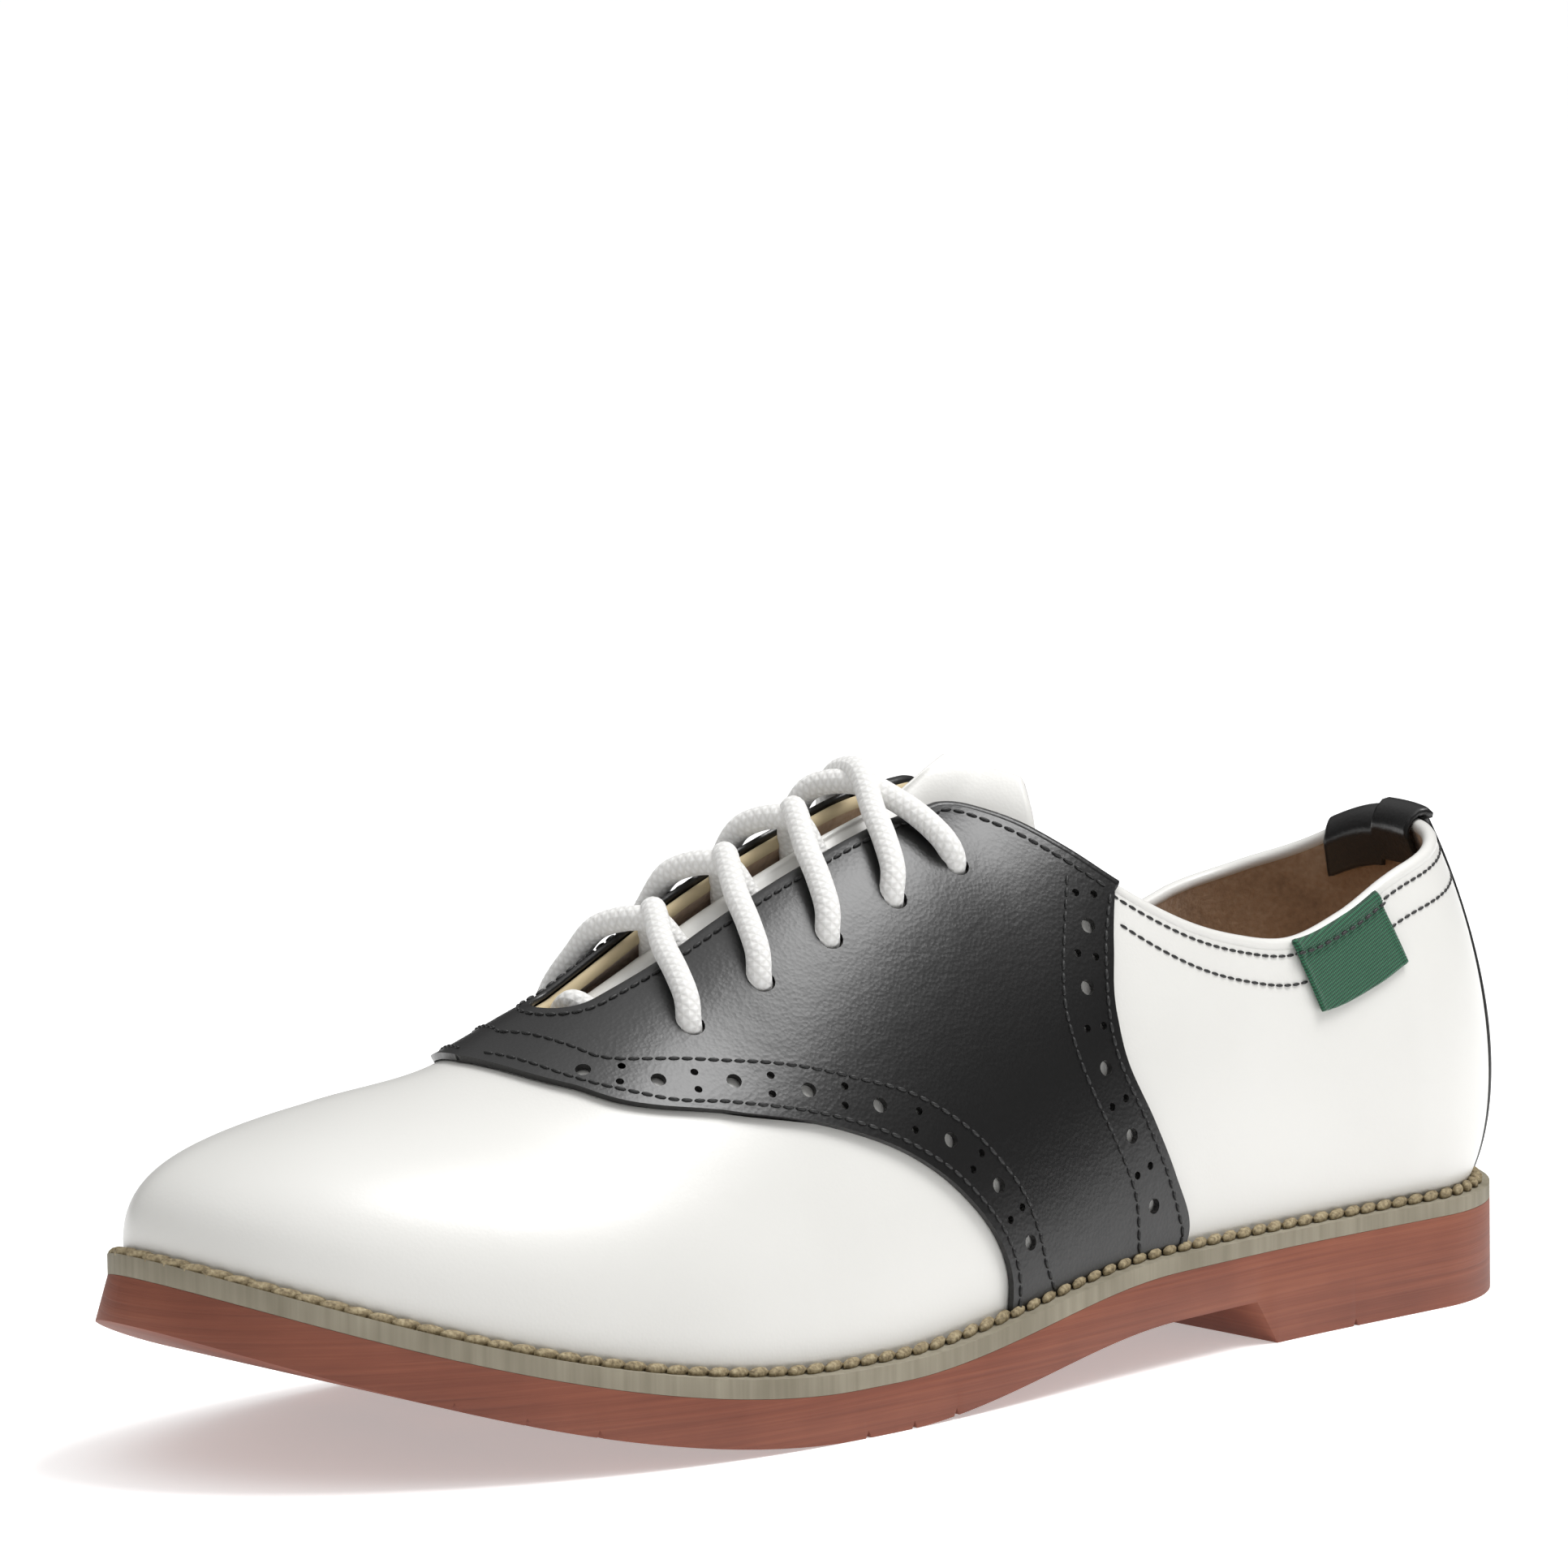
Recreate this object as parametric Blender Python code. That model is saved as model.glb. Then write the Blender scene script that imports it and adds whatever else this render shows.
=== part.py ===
"""A saddle shoe for the left foot, as an assembly of its makers' pieces.

Metres, +Z up. +X runs to the toe and +Y to the outer side of the foot. The
origin lies on the floor under the middle of the outsole's bounding box.
"""

import math

import bpy
import bmesh
import numpy as np

# Driving dimensions, in metres.
SOLE_LENGTH = 0.265
CENTRE_X = 0.13145
BALL_WIDTH = 0.0911
HEEL_ARC = 0.029
HEEL_SHIFT = 0.0002
TOE_SWING = 0.0115
TOE_SPRING = 0.0241
ARCH_RISE = 0.0074
OUTSOLE_THICKNESS = 0.0077
MIDSOLE_AT_TOE = 0.0030
MIDSOLE_AT_HEEL = 0.0022
EDGE_FLARE = 0.0024
HEEL_BREAST = 0.068
BREAST_SLANT = 0.0050
SIPE_DEPTH = 0.0012
SIPE_WIDTH = 0.0012
WELT_AT_TOE = 0.0048
WELT_AT_HEEL = 0.0036
INSTEP_HEIGHT = 0.0885
HEEL_HEIGHT = 0.0762
UPPER_WALL = 0.0020
OVERLAY = 0.0011
INSOLE_THICKNESS = 0.0030
TONGUE_THICKNESS = 0.0022
TONGUE_WIDTH = 0.0370
TONGUE_SHIFT = 0.0045
THROAT_GAP = 0.0120
EYELET_RADIUS = 0.0020
EYELET_SPACING = 0.0136
EYELET_ROW_FOOT = 0.0176
EYELET_ROW_TOP = 0.0148
LACE_DIAMETER = 0.0040
LACE_RISE = 0.0006
LACE_OVER = 0.0026
LACE_UNDER = 0.0008
LACE_DIVE = 0.0016
BACKSTAY_GAP = 0.0008
LACE_BAR_SINK = 0.16
TONGUE_CLEAR = 0.0008
TONGUE_SINK = 0.0013
BACKSTAY = 0.0012
LABEL_WIDTH = 0.0190
LABEL_THICKNESS = 0.0007
LABEL_DROP = 0.0110
SEAT = 0.0003

# Half widths of the sole from the heel's arc to the ball, as shares of the
# ball width, at shares of the sole's length. The toe's curve takes over there.
OUTER_EDGE = (
    # along, width
    (0.109, 0.361),
    (0.240, 0.381),
    (0.380, 0.431),
    (0.500, 0.474),
    (0.600, 0.496),
    (0.647, 0.500),
)
INNER_EDGE = (
    # along, width
    (0.109, 0.361),
    (0.240, 0.330),
    (0.380, 0.307),
    (0.500, 0.340),
    (0.600, 0.428),
    (0.660, 0.481),
    (0.706, 0.500),
)
TOE_POWER = 2.02

# Underside of the forepart: flat at the ball, rising to the toe and the arch.
FLAT_FROM = 0.592
FLAT_TO = 0.628
ARCH_FROM = 0.347
SPRING_POWER = 1.80
SIPES = (0.186, 0.548, 0.583, 0.620, 0.804, 0.845, 0.883)

# Cross sections of the upper, as a last maker gives them. The ridge height is
# a share of the instep height. Shoulder, roof and belly shape each section,
# and belly is a share of the ball width.
LAST_ROWS = (
    # along, ridge, shoulder, roof, belly
    (0.125, 1.120, 0.27, 0.78, 0.125),
    (0.230, 1.110, 0.36, 0.66, 0.070),
    (0.320, 1.090, 0.46, 0.62, 0.045),
    (0.370, 1.065, 0.46, 0.56, 0.038),
    (0.423, 1.020, 0.42, 0.46, 0.035),
    (0.480, 0.992, 0.37, 0.42, 0.035),
    (0.528, 0.947, 0.35, 0.41, 0.038),
    (0.585, 0.876, 0.34, 0.41, 0.040),
    (0.645, 0.785, 0.36, 0.41, 0.045),
    (0.702, 0.712, 0.42, 0.44, 0.045),
    (0.755, 0.644, 0.50, 0.47, 0.043),
    (0.838, 0.602, 0.60, 0.52, 0.040),
)
HEEL_CENTRE = 0.125
TOE_CENTRE = 0.838
TOE_SHOULDER = 0.75
TOE_ROOF = 0.60
TOE_BELLY = 0.020
RIDGE_SWING_FROM = 0.50
RIDGE_SWING_TO = 0.95

# Height of the topline, as shares of the heel height and the instep height.
# The inner side dips by a further share of the heel height.
COLLAR_ROWS = (
    # along, of heel height, of instep height, dip on the inner side
    (0.030, 1.000, 0.000, 0.000),
    (0.050, 0.990, 0.000, 0.065),
    (0.080, 0.966, 0.000, 0.096),
    (0.125, 0.925, 0.000, 0.100),
    (0.170, 0.861, 0.000, 0.075),
    (0.215, 0.823, 0.000, 0.048),
    (0.260, 0.000, 0.729, 0.026),
    (0.306, 0.000, 0.777, 0.010),
    (0.350, 0.000, 0.855, 0.000),
    (0.376, 0.000, 0.918, 0.000),
    (0.395, 0.000, 0.962, 0.000),
    (0.415, 0.000, 0.993, 0.000),
    (0.434, 0.000, 1.020, 0.000),
    (0.450, 0.000, 1.060, 0.000),
)
COLLAR_HALF = 0.0240
THROAT_END = 0.705
FACING_TOP = 0.445
CORNER_BLEND = 0.03
FACING_LIFT = 0.0048
LIFT_FROM = 0.50
LIFT_ROWS = (
    # along, share
    (0.350, 0.00),
    (0.400, 0.85),
    (0.450, 1.25),
    (0.500, 1.10),
    (0.560, 0.90),
    (0.640, 0.50),
    (0.684, 0.00),
)

EYELETS = 5
EYELET_FIRST = 0.652
LACE_BAR_AT = 0.678
BACKSTAY_SPAN = 0.0305
UPPER_ROWS = (0.0, 0.10, 0.22, 0.34, 0.46, 0.57, 0.67, 0.76, 0.84, 0.92, 1.0)
SADDLE_FROM = 0.315
SADDLE_TO = 0.800

# Edges of the saddle in side view, front edge from the ridge down to the
# sole, then the rear edge from the sole up to the topline.
SADDLE_EDGE = (
    # along, of instep height
    (0.7900, 0.780),
    (0.7570, 0.640),
    (0.7370, 0.608),
    (0.7010, 0.572),
    (0.6590, 0.555),
    (0.6260, 0.538),
    (0.5910, 0.508),
    (0.5650, 0.476),
    (0.5350, 0.418),
    (0.5160, 0.365),
    (0.4990, 0.297),
    (0.4900, 0.226),
    (0.4890, 0.150),
    (0.4930, 0.050),
    (0.3240, 0.050),
    (0.3310, 0.200),
    (0.3431, 0.344),
    (0.3594, 0.449),
    (0.3735, 0.546),
    (0.3757, 0.633),
    (0.3660, 0.747),
    (0.3496, 0.855),
    (0.3400, 0.910),
    (0.3400, 1.250),
    (0.7900, 1.250),
)

# Half width of the strip over the back seam, and the fold of its top tab.
BACKSTAY_ROWS = (
    # up, half width
    (0.00, 0.0165),
    (0.45, 0.0155),
    (0.80, 0.0130),
    (1.00, 0.0115),
)
TAB_FOLD = 0.006
LABEL_AT = 0.180
LABEL_LEAN = 0.0037

# The tongue from under the vamp to its tip, and how far it curls up there.
TONGUE_ROWS = (
    # along, half width, lift, shift
    (0.715, 0.55, 0.00, 0.00),
    (0.620, 0.70, 0.00, 0.00),
    (0.510, 0.82, 0.00, 0.20),
    (0.472, 0.87, 0.02, 0.50),
    (0.451, 0.94, 0.22, 0.80),
    (0.436, 0.98, 0.56, 0.95),
    (0.423, 0.96, 0.86, 1.00),
    (0.414, 0.84, 1.00, 1.00),
    (0.409, 0.56, 1.06, 1.00),
)
TONGUE_LIFT = 0.0054
TONGUE_FADE = 2.4
TONGUE_LEAN = 0.034


def smooth(t):
    """An S curve from 0 to 1."""
    t = np.clip(t, 0.0, 1.0)
    return t * t * (3.0 - 2.0 * t)


def row_value(rows, column, along):
    """A column of a table, on a smooth curve through its rows."""
    table = np.array(rows)
    x = table[:, 0]
    y = table[:, column]
    slope = np.gradient(y, x)
    at = np.clip(along, x[0], x[-1])
    i = np.clip(np.searchsorted(x, at) - 1, 0, len(x) - 2)
    span = x[i + 1] - x[i]
    t = (at - x[i]) / span
    rise = t * t * (3.0 - 2.0 * t)
    start = t * (1.0 - t) ** 2 * span
    end = t * t * (t - 1.0) * span
    return y[i] + (y[i + 1] - y[i]) * rise + slope[i] * start + slope[i + 1] * end


def ground(x):
    """Underside of the sole's even thickness: toe spring, flat and arch."""
    along = np.asarray(x) / SOLE_LENGTH
    toe = np.clip((along - FLAT_TO) / (1.0 - FLAT_TO), 0.0, 1.0)
    arch = smooth((FLAT_FROM - along) / (FLAT_FROM - ARCH_FROM))
    return TOE_SPRING * toe ** SPRING_POWER + ARCH_RISE * arch


def midsole_thickness(x):
    """The midsole thins towards the heel."""
    share = smooth(np.asarray(x) / SOLE_LENGTH)
    return MIDSOLE_AT_HEEL + (MIDSOLE_AT_TOE - MIDSOLE_AT_HEEL) * share


def seat_height(x):
    """Top of the midsole, which the upper stands on."""
    return ground(x) + OUTSOLE_THICKNESS + SEAT + midsole_thickness(x)


def sole_edge(side, heel_points=14, waist_points=22, toe_points=20):
    """One side of the sole's outline, from the heel's back to the toe's tip."""
    rows = OUTER_EDGE if side > 0 else INNER_EDGE
    ball = rows[-1][0] * SOLE_LENGTH
    half = rows[0][1] * BALL_WIDTH - side * HEEL_SHIFT
    turn = np.linspace(0.0, math.pi / 2, heel_points, endpoint=False)
    heel = np.stack([HEEL_ARC * (1.0 - np.cos(turn)),
                     HEEL_SHIFT + side * half * np.sin(turn)], 1)
    x = np.linspace(HEEL_ARC, ball, waist_points, endpoint=False)
    waist = np.stack([x, side * BALL_WIDTH * row_value(rows, 1, x / SOLE_LENGTH)], 1)
    turn = np.linspace(0.0, math.pi / 2, toe_points)
    reach = np.sin(turn) ** (2.0 / TOE_POWER)
    width = np.cos(turn) ** (2.0 / TOE_POWER)
    tip = -TOE_SWING
    toe = np.stack([ball + (SOLE_LENGTH - ball) * reach,
                    tip + (side * BALL_WIDTH / 2 - tip) * width], 1)
    return np.concatenate([heel, waist, toe])


def inset(line, side, distance):
    """A sole edge moved inwards by a distance that may change along it."""
    run = np.gradient(line, axis=0)
    run[0] = (0.0, side)
    run[-1] = (0.0, -side)
    run /= np.linalg.norm(run, axis=1)[:, None]
    inward = np.stack([run[:, 1], -run[:, 0]], 1) * side
    return line + inward * np.reshape(distance, (-1, 1))


def welt_width(x):
    """Ledge of the midsole outside the upper, widest round the toe."""
    return WELT_AT_HEEL + (WELT_AT_TOE - WELT_AT_HEEL) * smooth(x / SOLE_LENGTH)


def feather(side):
    """Where the upper meets the midsole, on one side."""
    line = sole_edge(side, 60, 80, 80)
    return inset(line, side, welt_width(line[:, 0]))


FEATHER = {1: feather(1), -1: feather(-1)}


def ridge_y(x):
    """Middle line of the upper, which swings inwards to the toe."""
    along = np.asarray(x) / SOLE_LENGTH
    share = smooth((along - RIDGE_SWING_FROM) / (RIDGE_SWING_TO - RIDGE_SWING_FROM))
    return HEEL_SHIFT - (TOE_SWING + HEEL_SHIFT) * share


def toe_slope():
    """Fall of the ridge line where the toe's sections meet."""
    near = LAST_ROWS[-1]
    far = LAST_ROWS[-2]
    fall = INSTEP_HEIGHT * (far[1] - near[1])
    return fall / (SOLE_LENGTH * (near[0] - far[0]))


def column(side, s):
    """Values of the section at s: -1 heel back, 0 to 1 along, 2 toe tip."""
    if abs(s - 0.5) >= 1.5:
        side = 1
    line = FEATHER[side]
    heel_x = HEEL_CENTRE * SOLE_LENGTH
    toe_x = TOE_CENTRE * SOLE_LENGTH
    x = heel_x + (toe_x - heel_x) * min(max(s, 0.0), 1.0)
    centre = np.array([x, float(ridge_y(x))])
    turn = 0.0
    if s < 0.0:
        turn = -s * math.pi / 2
    if s > 1.0:
        turn = (s - 1.0) * math.pi / 2
    lean = -math.sin(turn) if s < 0.0 else math.sin(turn)
    way = np.array([lean, side * math.cos(turn)])
    rel = line - centre
    if s < 0.0:
        rel = rel[line[:, 0] < heel_x + 0.01]
    elif s > 1.0:
        rel = rel[line[:, 0] > toe_x - 0.01]
    angle = np.arctan2(rel[:, 0], side * rel[:, 1])
    order = np.argsort(angle)
    want = math.atan2(lean, math.cos(turn))
    if 0.0 <= s <= 1.0:
        reach = side * (np.interp(x, line[:, 0], line[:, 1]) - centre[1])
    else:
        radius = np.linalg.norm(rel, axis=1)
        reach = float(np.interp(want, angle[order], radius[order]))
    foot = centre + way * reach
    along = x / SOLE_LENGTH
    ridge = INSTEP_HEIGHT * float(row_value(LAST_ROWS, 1, along))
    shoulder = float(row_value(LAST_ROWS, 2, along))
    roof = float(row_value(LAST_ROWS, 3, along))
    belly = BALL_WIDTH * float(row_value(LAST_ROWS, 4, along))
    slope = 0.0
    if s > 1.0:
        blend = smooth(s - 1.0)
        shoulder += (TOE_SHOULDER - shoulder) * blend
        roof += (TOE_ROOF - roof) * blend
        belly += (TOE_BELLY * BALL_WIDTH - belly) * blend
        slope = -toe_slope() * math.sin(turn)
    base = float(seat_height(foot[0])) + SEAT
    lift = 0.0
    if side < 0 and 0.0 <= s <= 1.0:
        lift = FACING_LIFT * float(row_value(LIFT_ROWS, 1, along))
    return {"lift": lift, "centre": centre, "way": way, "reach": reach, "base": base,
            "ridge": ridge, "shoulder": shoulder, "roof": roof,
            "belly": belly, "slope": slope, "x": foot[0]}


def facing_lift(col, t):
    """How far the inner facing stands up off the tongue."""
    return col["lift"] * float(smooth((t - LIFT_FROM) / (1.0 - LIFT_FROM)))


def section_point(col, t, lifted=True):
    """A point of a section: t is 0 at the feather line and 1 on the ridge."""
    rise = col["ridge"] - col["base"]
    out = (col["reach"], col["reach"] + col["belly"], col["reach"] * col["roof"], 0.0)
    up = (col["base"], col["base"] + rise * col["shoulder"],
          col["ridge"] + col["slope"] * out[2], col["ridge"])
    share = ((1 - t) ** 3, 3 * t * (1 - t) ** 2, 3 * t * t * (1 - t), t ** 3)
    rho = sum(w * p for w, p in zip(share, out))
    z = sum(w * p for w, p in zip(share, up))
    if lifted:
        z += facing_lift(col, t)
    flat = col["centre"] + col["way"] * rho
    return np.array([flat[0], flat[1], z])


def skin(side, s, t, offset=0.0):
    """The upper's outer surface, or a surface at an offset from it."""
    point = section_point(column(side, s), t)
    if offset == 0.0:
        return point
    step = 0.002
    if s >= 1.0 and t > 0.985:
        normal = np.array([toe_slope(), 0.0, 1.0])
    else:
        s0 = max(s - step, -1.0)
        s1 = min(s + step, 2.0)
        t0 = max(t - step, 0.0)
        t1 = min(t + step, 1.0)
        col = column(side, s)
        ds = section_point(column(side, s1), t, False) - section_point(column(side, s0), t, False)
        dt = section_point(col, t1, False) - section_point(col, t0, False)
        if s == -1.0 or s == 2.0:
            ds = np.array([0.0, -side if s == 2.0 else side, 0.0])
        normal = np.cross(dt, ds) * side
    normal /= np.linalg.norm(normal)
    if t == 0.0:
        flat = np.array([normal[0], normal[1], 0.0])
        return point + flat / np.linalg.norm(flat) * offset
    return point + normal * offset


def find_t(col, want, axis):
    """The t at which a section reaches a height, or a distance from the ridge."""
    low = 0.0
    high = 1.0
    for _ in range(30):
        mid = (low + high) / 2
        point = section_point(col, mid)
        if axis == "height":
            above = point[2] > want
        else:
            above = np.dot(point[:2] - col["centre"], col["way"]) < want
        if above:
            high = mid
        else:
            low = mid
    return (low + high) / 2


def throat_half(along):
    """Half the gap between the facings, with a round end."""
    half = THROAT_GAP / 2
    depth = (THROAT_END - along) * SOLE_LENGTH
    if depth <= 0.0:
        return 0.0
    if depth >= half:
        return half
    return math.sqrt(half ** 2 - (half - depth) ** 2)


def open_t(side, s):
    """Where the upper stops: at the topline, the throat or the closed ridge."""
    if abs(s - 0.5) >= 1.5:
        side = 1
    col = column(side, s)
    if s > 1.0:
        return 1.0
    if s < 0.0:
        turn = -s * math.pi / 2
        along = HEEL_CENTRE - math.sin(turn) * COLLAR_HALF / SOLE_LENGTH
    else:
        along = HEEL_CENTRE + (TOE_CENTRE - HEEL_CENTRE) * s
    half = throat_half(along)
    if half == 0.0:
        return 1.0
    throat = find_t(col, half, "distance")
    if along > FACING_TOP:
        return throat
    height = (HEEL_HEIGHT * float(row_value(COLLAR_ROWS, 1, along))
              + INSTEP_HEIGHT * float(row_value(COLLAR_ROWS, 2, along)))
    if side < 0:
        height -= HEEL_HEIGHT * float(row_value(COLLAR_ROWS, 3, along))
        height += col["lift"]
    collar = find_t(col, height, "height")
    gap = (throat - collar) / CORNER_BLEND
    if gap > 30.0:
        return collar
    return throat - CORNER_BLEND * math.log1p(math.exp(gap))


def s_at(along):
    """The section that crosses a share of the sole's length."""
    return (along - HEEL_CENTRE) / (TOE_CENTRE - HEEL_CENTRE)


def paint(obj, colour, roughness):
    """A plain material of the piece's own colour."""
    mat = bpy.data.materials.new(obj.name)
    mat.use_nodes = True
    shader = mat.node_tree.nodes["Principled BSDF"]
    shader.inputs["Base Color"].default_value = (*colour, 1.0)
    shader.inputs["Roughness"].default_value = roughness
    shader.inputs["Metallic"].default_value = 0.0
    obj.data.materials.append(mat)


def add_body(name, points, faces, colour, roughness):
    """A closed solid from points and faces, merged where they coincide."""
    mesh = bpy.data.meshes.new(name)
    bm = bmesh.new()
    verts = [bm.verts.new((p[0] - CENTRE_X, p[1], p[2])) for p in points]
    for face in faces:
        bm.faces.new([verts[i] for i in face])
    bmesh.ops.remove_doubles(bm, verts=bm.verts, dist=0.00002)
    bmesh.ops.dissolve_degenerate(bm, dist=0.000001, edges=bm.edges)
    bmesh.ops.triangulate(bm, faces=bm.faces)
    bmesh.ops.recalc_face_normals(bm, faces=bm.faces)
    bm.to_mesh(mesh)
    bm.free()
    obj = bpy.data.objects.new(name, mesh)
    bpy.context.collection.objects.link(obj)
    mesh.shade_smooth()
    mesh.set_sharp_from_angle(angle=math.radians(40))
    paint(obj, colour, roughness)
    return obj


def sheet_faces(rows, cols, first, flip=False, wrap=False):
    """Triangles of a grid of points, numbered row by row from first."""
    faces = []
    for r in range(rows - 1):
        for c in range(cols if wrap else cols - 1):
            d = (c + 1) % cols
            a = first + r * cols
            b = a + cols
            for face in ((a + c, a + d, b + d), (a + c, b + d, b + c)):
                faces.append(tuple(reversed(face)) if flip else face)
    return faces


def leather(name, front, back, colour, roughness):
    """A sheet with thickness, between two grids of points."""
    rows, cols = front.shape[:2]
    points = list(front.reshape(-1, 3)) + list(back.reshape(-1, 3))
    n = rows * cols
    faces = sheet_faces(rows, cols, 0) + sheet_faces(rows, cols, n, flip=True)
    ring = ([c for c in range(cols)]
            + [r * cols + cols - 1 for r in range(1, rows)]
            + [(rows - 1) * cols + c for c in range(cols - 2, -1, -1)]
            + [r * cols for r in range(rows - 2, 0, -1)])
    for i, a in enumerate(ring):
        b = ring[(i + 1) % len(ring)]
        faces.append((b, a, a + n, b + n))
    return add_body(name, points, faces, colour, roughness)


for old in list(bpy.data.objects):
    bpy.data.objects.remove(old, do_unlink=True)


def sole_ring(distance):
    """The sole's whole outline moved inwards, outer side first."""
    sides = []
    for side in (1, -1):
        line = sole_edge(side)
        sides.append(inset(line, side, np.full(len(line), distance)))
    return np.concatenate([sides[0], sides[1][-2:0:-1]]), len(sides[0])


def plate(name, ring, half, low, high, colour, roughness, foot=None):
    """A plate with a sole's outline between two heights along it."""
    total = len(ring)
    base = ring if foot is None else foot
    lower = [(x, y, z) for (x, y), z in zip(base, low(base[:, 0]))]
    upper = [(x, y, z) for (x, y), z in zip(ring, high(ring[:, 0]))]
    faces = []
    for i in range(total):
        j = (i + 1) % total
        faces.append((i, j, total + j, total + i))
    for k in (0, total):
        for i in range(half - 1):
            d = (total - i) % total
            c = (total - i - 1) % total
            corners = tuple(dict.fromkeys((k + i, k + i + 1, k + c, k + d)))
            if len(corners) > 2:
                faces.append(corners)
    return add_body(name, lower + upper, faces, colour, roughness)


def boolean(obj, other, operation):
    """Cut, fuse or trim a piece with another, which is then deleted."""
    mod = obj.modifiers.new(operation, "BOOLEAN")
    mod.object = other
    mod.operation = operation
    mod.solver = "EXACT"
    graph = bpy.context.evaluated_depsgraph_get()
    done = bpy.data.meshes.new_from_object(obj.evaluated_get(graph))
    obj.modifiers.remove(mod)
    obj.data = done
    bpy.data.objects.remove(other, do_unlink=True)


def toe_flare(ring):
    """How far the tread stands out of the sole's top edge, round the toe."""
    share = smooth((ring[:, 0] / SOLE_LENGTH - OUTER_EDGE[-1][0]) / (1 - OUTER_EDGE[-1][0]))
    return EDGE_FLARE * share


def prism(name, profile):
    """A cutter right across the sole, from a profile in the middle plane."""
    points = [(x, y, z) for y in (-BALL_WIDTH, BALL_WIDTH) for x, z in profile]
    n = len(profile)
    faces = [tuple(range(n)), tuple(range(2 * n - 1, n - 1, -1))]
    faces += [(i, (i + 1) % n, n + (i + 1) % n, n + i) for i in range(n)]
    return add_body(name, points, faces, (0.5, 0.5, 0.5), 0.5)


def make_outsole():
    """One moulding with its heel block, arch, toe spring and tread sipes."""
    ring, half = sole_ring(0.0)
    middle = np.array([TOE_CENTRE * SOLE_LENGTH, -TOE_SWING])
    away = ring - middle
    away /= np.linalg.norm(away, axis=1)[:, None]
    height = ground(ring[:, 0]) + OUTSOLE_THICKNESS
    flare = toe_flare(ring)
    inward = ring - away * flare[:, None]
    foot = inward + away * (flare * height / OUTSOLE_THICKNESS)[:, None]
    sole = plate("outsole", inward, half, lambda x: 0.0 * x,
                 lambda x: ground(x) + OUTSOLE_THICKNESS, (0.45, 0.13, 0.09), 0.6, foot)
    deep = -2.0 * ARCH_RISE
    slant = BREAST_SLANT / ARCH_RISE
    arch_x = np.linspace(HEEL_BREAST + BREAST_SLANT, FLAT_FROM * SOLE_LENGTH, 16)
    arch = [(x, float(z)) for x, z in zip(arch_x, ground(arch_x))]
    arch += [(arch_x[-1], deep), (HEEL_BREAST + slant * deep, deep)]
    boolean(sole, prism("arch_cutter", arch), "DIFFERENCE")
    spring_x = np.linspace(FLAT_TO, 1.05, 16) * SOLE_LENGTH
    rise = TOE_SPRING * ((spring_x / SOLE_LENGTH - FLAT_TO) / (1 - FLAT_TO)) ** SPRING_POWER
    spring = [(x, float(z)) for x, z in zip(spring_x, rise)]
    spring += [(spring_x[-1], deep), (spring_x[0], deep)]
    boolean(sole, prism("spring_cutter", spring), "DIFFERENCE")
    for along in SIPES:
        x = along * SOLE_LENGTH
        z = float(ground(x)) if x > HEEL_BREAST else 0.0
        wide = SIPE_WIDTH / 2
        groove = [(x - 2 * wide, z - SIPE_DEPTH), (x + 2 * wide, z - SIPE_DEPTH),
                  (x, z + SIPE_DEPTH)]
        boolean(sole, prism("sipe_cutter", groove), "DIFFERENCE")
    return sole


def make_midsole():
    """The even band between outsole and upper."""
    ring, half = sole_ring(0.0)
    middle = np.array([TOE_CENTRE * SOLE_LENGTH, -TOE_SWING])
    away = ring - middle
    away /= np.linalg.norm(away, axis=1)[:, None]
    inward = ring - away * toe_flare(ring)[:, None]
    return plate("midsole", inward, half, lambda x: ground(x) + OUTSOLE_THICKNESS + SEAT,
                 seat_height, (0.40, 0.37, 0.29), 0.7)


def make_insole():
    """The sock that the foot stands on, inside the upper's wall."""
    sides = []
    for side in (1, -1):
        line = sole_edge(side)
        margin = welt_width(line[:, 0]) + UPPER_WALL + 2 * SEAT
        sides.append(inset(line, side, margin))
    ring = np.concatenate([sides[0], sides[1][-2:0:-1]])
    return plate("insole", ring, len(sides[0]), lambda x: seat_height(x) + SEAT,
                 lambda x: seat_height(x) + SEAT + INSOLE_THICKNESS,
                 (0.55, 0.45, 0.34), 0.8)


def two_sided(name, grids, closed_ends, colour, roughness):
    """A wall over both sides of the last, from outer and inner grids."""
    points = []
    faces = []
    for front, back, is_open in grids:
        rows, cols = front.shape[:2]
        first = len(points)
        n = rows * cols
        points += list(front.reshape(-1, 3)) + list(back.reshape(-1, 3))
        faces += sheet_faces(rows, cols, first)
        faces += sheet_faces(rows, cols, first + n, flip=True)
        top = (rows - 1) * cols
        for c in range(cols - 1):
            a = first + c
            faces.append((a, a + 1, a + 1 + n, a + n))
            if is_open[c] or is_open[c + 1]:
                b = first + top + c
                faces.append((b, b + 1, b + 1 + n, b + n))
        if not closed_ends:
            for r in range(rows - 1):
                for c in (0, cols - 1):
                    a = first + r * cols + c
                    faces.append((a, a + cols, a + cols + n, a + n))
    return add_body(name, points, faces, colour, roughness)


def throat_steps():
    """Shares of the length that crowd round the throat's round end."""
    reach = THROAT_GAP / 2 / SOLE_LENGTH
    turn = np.linspace(0.0, math.pi / 2, 6)
    return THROAT_END - reach * (1.0 - np.sin(turn))


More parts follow.
